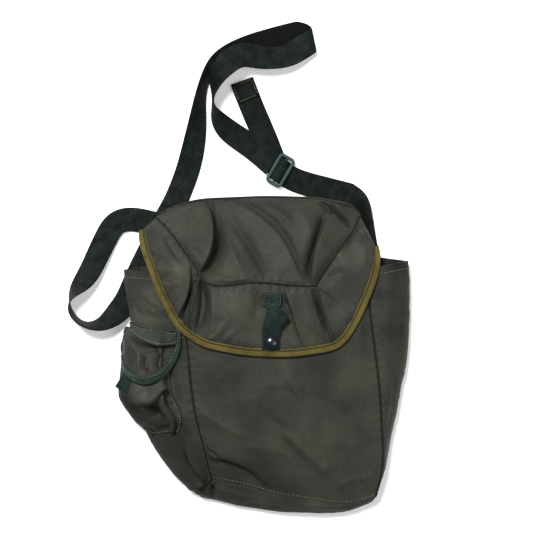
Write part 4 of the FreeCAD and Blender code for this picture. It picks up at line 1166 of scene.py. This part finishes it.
def make_snap():
    low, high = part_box("snap_cap")
    centre = ((low.x + high.x) / 2 / MM, (low.y + high.y) / 2 / MM, low.z / MM)
    dome = [(0, 0.0), (6.2, 0.0), (6.9, 0.15), (7.25, 0.5), (7.3, 0.8), (7.05, 1.1), (6.6, 1.35), (6.2, 1.62),
            (5.4, 2.2), (4.4, 2.75), (3.2, 3.2), (2.0, 3.45), (0.9, 3.57), (0, 3.6)]
    place(lathe("snap_cap_dome", dome, centre, LACQUER), "flap", "snap_lacquer", "snap_cap")
    for node in ("snap_stud", "snap_socket", "stud_patch"):
        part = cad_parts[node]
        part.data.materials.clear()
        part.data.materials.append(BODY if node == "stud_patch" else LACQUER)


# ---- pocket ----

def make_pocket(gusset_grid):
    gusset_tree = tree_of(gusset_grid)
    down = even(80, 95)
    seam = spline(POCKET_SEAM, down)
    edge = spline(POCKET_EDGE, down)
    profile = spline(POCKET_PROFILE, np.linspace(0, 1, 80))
    grid = np.zeros((len(down), len(profile), 3))
    for i, t in enumerate(down):
        fullness = min(1.0, 0.12 + 1.3 * math.cos(math.pi * t / 2)) * (0.55 + 0.45 * min(1.0, 4 * t))
        base = drop(gusset_tree, *seam[i])[0][2] + CLOTH
        for j, (share, lift) in enumerate(profile):
            x, y = seam[i] + (edge[i] - seam[i]) * share
            z = base + (11.2 - base) * max(share, 0) ** 1.6 + lift * fullness
            under = height_of(gusset_tree, x, y)
            if under is not None and share < 0.9:
                z = max(z, under + CLOTH)
            grid[i, j] = x, y, z
    grid = grid[:, ::-1]
    grid, shade = folded(grid, POCKET_FOLDS, 21.0, rough=1.4, reach=3.5, seams="br", pucker=0.5)
    place(shell("pocket_cloth", grid, POCKET, shade=shade), "bag", "pocket_nylon", "pocket_front")
    n = normals(grid)
    keep = cloth_lengths(grid)[1].mean(axis=1) < 9.0
    hem = (grid[keep] - n[keep] * (CLOTH + HEM_GAP))[:, 2:-2]
    place(shell("pocket_hem_cloth", hem, POCKET, 1.0), "bag", "pocket_nylon", "pocket_mouth_hem")
    runs = [side_run(grid, "r", 2.2), side_run(grid, "b", 2.2), side_run(grid, "t", 7.0)]
    stitches("pocket_thread", runs, GREEN_THREAD, "bag", 2.2, 1.2, 0.75)
    make_pocket_flap(gusset_tree, tree_of(grid))


def flap_level(gusset_tree, pocket_tree, x, y):
    """High enough to lie over the pocket's mouth and over the gusset above it."""
    over_gusset = drop(gusset_tree, max(x, -136), y)[0][2] + 2.7
    over_pocket = height_of(pocket_tree, x, min(y, 40.0))
    if over_pocket is None:
        over_pocket = drop(pocket_tree, x, min(y, 40.0))[0][2]
    share = min(1.0, max(0.0, (60 - y) / 12))
    level = max(over_gusset, over_gusset * (1 - share) + (over_pocket + 4.0) * share)
    return level - 0.07 * max(0.0, -140 - x) ** 2


def make_pocket_flap(gusset_tree, pocket_tree):
    across = even(60, 60)
    down = even(46, 45)
    hinge = spline(POCKET_HINGE, across)
    rim = spline(POCKET_RIM, across)
    grid = np.zeros((len(down), len(across), 3))
    for i, t in enumerate(down):
        for j in range(len(across)):
            x, y = hinge[j] + (rim[j] - hinge[j]) * t
            grid[i, j] = x, y, flap_level(gusset_tree, pocket_tree, x, y)
    for _ in range(6):
        relax(grid[..., 2])
        relax(grid[..., 2].T)
    grid = grid[:, ::-1]
    grid, shade = folded(grid, POCKET_FLAP_FOLDS, 22.0, rough=1.4, reach=3.5, seams="t", pucker=0.6)
    at_pocket_seam(shell("pocket_flap_cloth", grid, POCKET, shade=shade), "pocket_nylon", "pocket_flap")
    rim = np.column_stack((grid[-1, ::-1], side_run(grid, "b", 8.0)[0][::-1]))
    rim = spline(rim[::4].tolist() + [rim[-1].tolist()], np.linspace(0, 1, 130))
    side = unit(rim[:, 3:] - rim[:, :3])
    outer = rim[:, :3] - side * 1.5
    taped = int(np.argmax((outer[:, 1] > 33) & (outer[:, 0] < -130)))
    outer, side = outer[:taped], side[:taped]
    width = 9.2 - 4.0 * smooth((np.linspace(0, 1, taped) - 0.55) / 0.3)
    obj, run = tape("pocket_flap_tape", outer, -1, width, 3.0, GREEN, 8.0, side)
    at_pocket_seam(obj, "green_binding", "pocket_flap_binding")
    surface = tree_of(grid)
    mark = surface_run(surface, [(-138, 46), (-134, 42), (-131, 38), (-130, 33), (-131, 27)])
    threads = stitches("pocket_flap_thread", [run, mark], GREEN_THREAD, None, 2.2, 1.2, 0.75)
    at_pocket_seam(threads, "green_binding")
    make_pull_tab(outer)
    make_strip(gusset_tree, surface)


def make_pull_tab(rim):
    """Short doubled webbing sewn under the pocket flap's rim."""
    low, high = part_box("pocket_pull_tab")
    top, bottom = high.z / MM, low.z / MM
    route = [(-135, 18, top - 3.4, 0), (-141.5, 8.5, top - 4.5, 4), (-148, -1, bottom + 3.5, 8)]
    centres, across = rolled(route)
    obj = webbing("pocket_pull_web", centres, across, TAB_WEB, 17.0, 0.9)
    place(obj, "pocket_flap", "tab_webbing", "pocket_pull_tab")


def make_strip(gusset_tree, flap_tree):
    """The stitched band over the pocket flap's sewn edge."""
    upper = spline([(-142, 69), (-135, 66), (-125, 63), (-110, 61), (-91, 59.5)], np.linspace(0, 1, 50))
    lower = spline([(-140, 60), (-133, 54), (-123, 49), (-110, 45.5), (-92, 46.5)], np.linspace(0, 1, 50))
    grid = np.zeros((16, 50, 3))
    for i in range(16):
        t = i / 15
        for j in range(50):
            x, y = upper[j] + (lower[j] - upper[j]) * t
            level = drop(gusset_tree, max(x, -138), y)[0][2] + 1.6
            cover = height_of(flap_tree, x, y)
            if cover is not None:
                level = max(level, cover + 1.8)
            grid[i, j] = x, y, level
    relax(grid[..., 2], 5)
    grid, shade = folded(grid, [], 23.0, rough=1.2, reach=2.5, seams="t", pucker=0.7)
    obj = shell("pocket_strip_cloth", grid, STRIP, shade=shade)
    at_pocket_seam(obj, "pocket_nylon", "pocket_flap_seam")
    runs = [side_run(grid, "t", 2.2), side_run(grid, "b", 2.2)]
    threads = stitches("pocket_strip_thread", runs, GREEN_THREAD, None, 2.2, 1.2, 0.8)
    at_pocket_seam(threads, "pocket_nylon")


# ---- strap ----

def index_near(centres, x, y):
    return int(np.argmin(np.hypot(centres[:, 0] - x, centres[:, 1] - y)))


def between(start, end, share):
    return start + (end - start) * share


def evened(values, reach=6):
    """Each value averaged with its neighbours."""
    count = 2 * reach + 1
    return np.convolve(np.pad(values, reach, mode="edge"), np.ones(count) / count, "valid")


def top_fold():
    """Where the strap turns back over itself, between its outer and its inner edge."""
    centres, across = [], []
    low, high = 1.25, 8.6
    steps = 40
    for k in range(1, steps):
        angle = math.radians(-90 + 180 * k / steps)
        share = k / steps
        z = (low + high) / 2 + (high - low) / 2 * math.sin(angle)
        outer = np.array((between(34.6, 33.0, share) + 13 * math.cos(angle), between(382, 366.5, share), z))
        inner = np.array((between(41.0, 42.5, share) + 10 * math.cos(angle), between(357.5, 343, share), z))
        centres.append((outer + inner) / 2)
        across.append((outer - inner) / np.linalg.norm(outer - inner))
    return np.array(centres), np.array(across)


def make_long_strap():
    first, first_across = rolled(LONG_FIRST)
    second, second_across = rolled(LONG_SECOND, turned=-1.0)
    fold, fold_across = top_fold()
    if np.dot(first_across[-1], fold_across[0]) < 0:
        first_across = -first_across
    if np.dot(second_across[0], fold_across[-1]) < 0:
        second_across = -second_across
    centres = np.concatenate((first, fold, second))
    across = np.concatenate((first_across, fold_across, second_across))
    for k in range(3):
        centres[:, k] = evened(centres[:, k])
        across[:, k] = evened(across[:, k])
    across = unit(across)
    begin = index_near(first, -99, 186)
    end = index_near(first, -88, 210)
    join = len(first) + len(fold) + index_near(second, -26, 258)
    last = len(centres) - 1
    run = run_of(centres)
    parts = [
        ("strap_bag_web", 0, begin, "bag",
         ["strap_left_end", "strap_left_loop_top", "strap_left_loop_side", "strap_left_loop_end",
          "strap_left_loop_back", "strap_under_bag"]),
        ("strap_lift_web", begin, end, None, ["strap_rise_lower"]),
        ("strap_loop_web", end, join, "strap_loop",
         ["strap_rise_upper", "strap_top_back", "strap_top_fold", "strap_top_front", "strap_top_turn",
          "strap_return_upper"]),
        ("strap_slider_web", join, last, None, ["strap_return_lower"]),
    ]
    # painted shade on the strap's back layer in its top loop, growing toward the fold
    loop_shade = smooth((centres[:, 0] + 62) / 50) * (np.arange(len(centres)) < len(first) + len(fold) // 2)
    for name, low, high, body, nodes in parts:
        obj = webbing(name, centres[low:high + 1], across[low:high + 1], WEB, start=run[low],
                      shade=loop_shade[low:high + 1, None] * (centres[low:high + 1, 1:2] > 325))
        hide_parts(*nodes)
        if body:
            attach(obj, body)
        elif name == "strap_lift_web":
            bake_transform(obj)
        else:
            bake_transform(obj)


def make_short_strap():
    centres, across = rolled(SHORT)
    cut = index_near(centres, 30, 216.5)
    far = index_near(centres, 52, 209.5)
    run = run_of(centres)
    # the short strap is painted darker with painted shade, here and in its next two pieces
    obj = webbing("short_strap_loop_web", centres[:cut + 1], across[:cut + 1], WEB, shade=0.4)
    place(obj, "strap_loop", "strap_webbing", "short_strap_tail", "short_strap_under_slider")
    obj = webbing("short_strap_lift_web", centres[cut:far + 1], across[cut:far + 1], WEB, start=run[cut],
                  shade=0.3)
    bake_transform(obj)
    obj = webbing("short_strap_side_web", centres[far:], across[far:], WEB, start=run[far], shade=0.3)
    place(obj, "bag", "strap_webbing", "short_strap_side")
    centres, across = rolled(SHORT_TURN)
    # painted shade on the inner part of the strap where it turns down at the shoulder
    inside = np.array([x for x, z in web_section(WEB_WIDTH)]) < 6
    inside = smooth((run_of(centres) - 8) / 10)[:, None] * inside
    obj = webbing("short_strap_end_web", centres, across, WEB, shade=inside)
    place(obj, "bag", "strap_webbing", "short_strap_end")
    tip, tip_across = rolled([(-25.8, 319.6, 2.5, 0), (-22, 309.5, 2.75, 0), (-18, 300, 2.6, 0)])
    # painted shade on the tip as well
    obj = webbing("short_strap_tip_web", tip, tip_across, WEB, 24.6, 0.72, shade=0.4)
    place(obj, "strap_loop", "strap_webbing", "short_strap_tip")
    along = tip[-1] - tip[0]
    along /= np.linalg.norm(along)
    side = tip_across[0]
    lines = []
    for sign in (-1, 1):
        lines.append(np.array([tip[0] + along * 2 + side * 10.2 * sign,
                               tip[-1] - along * 1.5 + side * 10.2 * sign]))
    lines.append(np.array([tip[0] + along * 2 - side * 10.2, tip[0] + along * 2 + side * 10.2]))
    lines.append(np.array([tip[-1] - along * 1.5 - side * 10.6, tip[-1] - along * 1.5 + side * 10.6]))
    runs = []
    for line in lines:
        points = line[0] + (line[1] - line[0]) * np.linspace(0, 1, 20)[:, None]
        points[:, 2] = 3.55
        runs.append((points, np.tile((0.0, 0.0, 1.0), (20, 1))))
    stitches("short_strap_tip_thread", runs, OLIVE_THREAD, "strap_loop", 2.2, 0.8, 0.6)


def make_anchors():
    """Short ends of webbing on the bag, hidden under the straps that start there."""
    for node, route, half in (("strap_anchor_left", [(-60, 161, 1.5, 0), (-82, 163.8, 1.5, 0)], 0.5),
                              ("strap_anchor_right", [(107.5, 129, 2.1, 0), (104.5, 148, 2.1, 0)], 0.3)):
        centres, across = rolled(route)
        obj = webbing(node + "_web", centres, across, WEB, 22.5, half)
        place(obj, "bag", "strap_webbing", node)


# ---- slider ----

def slider_point(x, y, z):
    cos, sin = math.cos(SLIDER_TURN), math.sin(SLIDER_TURN)
    return (SLIDER_CENTRE[0] + x * cos - y * sin, SLIDER_CENTRE[1] + x * sin + y * cos, SLIDER_FLOOR + z)


def make_slider():
    """Rounded wire-like frame, its bar, the hump of webbing over the bar, and the long strap's sewn end."""
    half_x, half_y, corner = 7.6, 15.5, 3.0
    path = []
    for cx, cy, start in ((1, 1, 0), (-1, 1, 90), (-1, -1, 180), (1, -1, 270)):
        for k in range(9):
            angle = math.radians(start + 90 * k / 8)
            path.append((cx * (half_x - corner) + corner * math.cos(angle),
                         cy * (half_y - corner) + corner * math.sin(angle), angle))
    points, faces = [], []
    sides = 12
    for x, y, angle in path:
        for k in range(sides):
            turn = 2 * math.pi * k / sides
            radial = FRAME_HALF_WIDTH * math.copysign(abs(math.cos(turn)) ** 0.75, math.cos(turn))
            rise = FRAME_HALF_HEIGHT * math.copysign(abs(math.sin(turn)) ** 0.75, math.sin(turn))
            points.append(slider_point(x + radial * math.cos(angle), y + radial * math.sin(angle),
                                       FRAME_HALF_HEIGHT + rise))
    for i in range(len(path)):
        for k in range(sides):
            m, j = (k + 1) % sides, (i + 1) % len(path)
            faces.append((i * sides + k, i * sides + m, j * sides + m, j * sides + k))
    frame_piece = mesh_piece("slider_frame_metal", points, faces)
    frame_piece.data.materials.append(TEAL)
    place(frame_piece, "slider", "slider_paint", "slider_frame")
    loops = []
    ends = np.linspace(-13.6, 13.6, 20)
    for y in ends:
        loops.append([slider_point(1.25 * math.cos(t), y, 1.0 + 0.75 * math.sin(t))
                      for t in np.linspace(0, 2 * math.pi, 12, endpoint=False)])
    place(loft("slider_bar_metal", loops, TEAL, ends, range(12)), "slider", "slider_paint", "slider_bar")
    turn = [(-5.4, 0.1), (-4.4, 1.3), (-2.8, 2.5), (-1.2, 3.05),
            (1.2, 3.05), (2.8, 2.5), (4.4, 1.3), (5.4, 0.1)]
    hump = spline(turn, np.linspace(0, 1, 60))
    centres = np.array([slider_point(x, 0, z) for x, z in hump])
    cross = np.array(slider_point(0, 1, 0)) - np.array(slider_point(0, 0, 0))
    obj = webbing("short_strap_turn_web", centres, np.tile(cross, (len(centres), 1)), WEB, 24.6, 0.5)
    place(obj, "slider", "strap_webbing", "short_strap_turn")
    centres = np.array([slider_point(x, 0, 3.05 - SLIDER_FLOOR) for x in np.linspace(-9.0, 1.0, 20)])
    obj = webbing("strap_sewn_end_web", centres, np.tile(cross, (len(centres), 1)), WEB, 24.8, 0.7)
    place(obj, "slider", "strap_webbing", "strap_sewn_end")


# ---- stage ----

WORLD_LIGHT = 0.18
FLOOR_LIGHT = 0.28
FLOOR_LEVEL = -0.4
FLOOR_REACH = 4000
LAMPS = (("key", (-0.6, 1.1, 2.0), 0.8, 80.0), ("fill", (1.3, -0.2, 1.9), 1.4, 15.0))   # place, size, power


def make_stage():
    world = bpy.data.worlds.new("studio")
    bpy.context.scene.world = world
    world.use_nodes = True
    background = world.node_tree.nodes["Background"]
    background.inputs["Color"].default_value = (1.0, 1.0, 1.0, 1.0)
    background.inputs["Strength"].default_value = WORLD_LIGHT
    signs = ((-1, -1), (1, -1), (1, 1), (-1, 1))
    corners = [(x * FLOOR_REACH, y * FLOOR_REACH, FLOOR_LEVEL) for x, y in signs]
    floor = mesh_piece("floor", corners, [(0, 1, 2, 3)])
    m = Nodes("floor_paper")
    paper = m.ramp(m.noise(40.0), (0.93, 0.93, 0.93, 1), (0.95, 0.95, 0.95, 1))
    floor.data.materials.append(m.finish(paper, 0.9))
    glow = floor.data.materials[0].node_tree.nodes["Principled BSDF"]
    glow.inputs["Emission Color"].default_value = (1.0, 1.0, 1.0, 1.0)
    glow.inputs["Emission Strength"].default_value = FLOOR_LIGHT
    for name, place_m, size, energy in LAMPS:
        lamp = bpy.data.lights.new(name, "AREA")
        lamp.shape = "DISK"
        lamp.size = size
        lamp.energy = energy
        obj = bpy.data.objects.new(name, lamp)
        obj.location = place_m
        aim = Vector((0, 0.12, 0)) - Vector(place_m)
        obj.rotation_euler = aim.to_track_quat("-Z", "Y").to_euler()
        bpy.context.scene.collection.objects.link(obj)


def make_camera():
    """Straight above the bag; the view is that wide at the middle of the bag's height."""
    height, middle, view_width, sensor = 1.62, 0.02, 0.549, 36.0
    camera = bpy.data.cameras.new("camera")
    camera.sensor_width = sensor
    camera.lens = sensor * (height - middle) / view_width
    camera.clip_end = 20.0
    obj = bpy.data.objects.new("camera", camera)
    obj.location = (0.0, 0.1262, height)
    bpy.context.scene.collection.objects.link(obj)
    bpy.context.scene.camera = obj


make_camera()
make_stage()
left_gusset_grid = make_body()
flap_front_grid = make_flap()
make_tab(flap_front_grid)
make_snap()
make_pocket(left_gusset_grid)
make_long_strap()
make_short_strap()
make_anchors()
make_slider()
bpy.context.scene.view_settings.view_transform = "Standard"
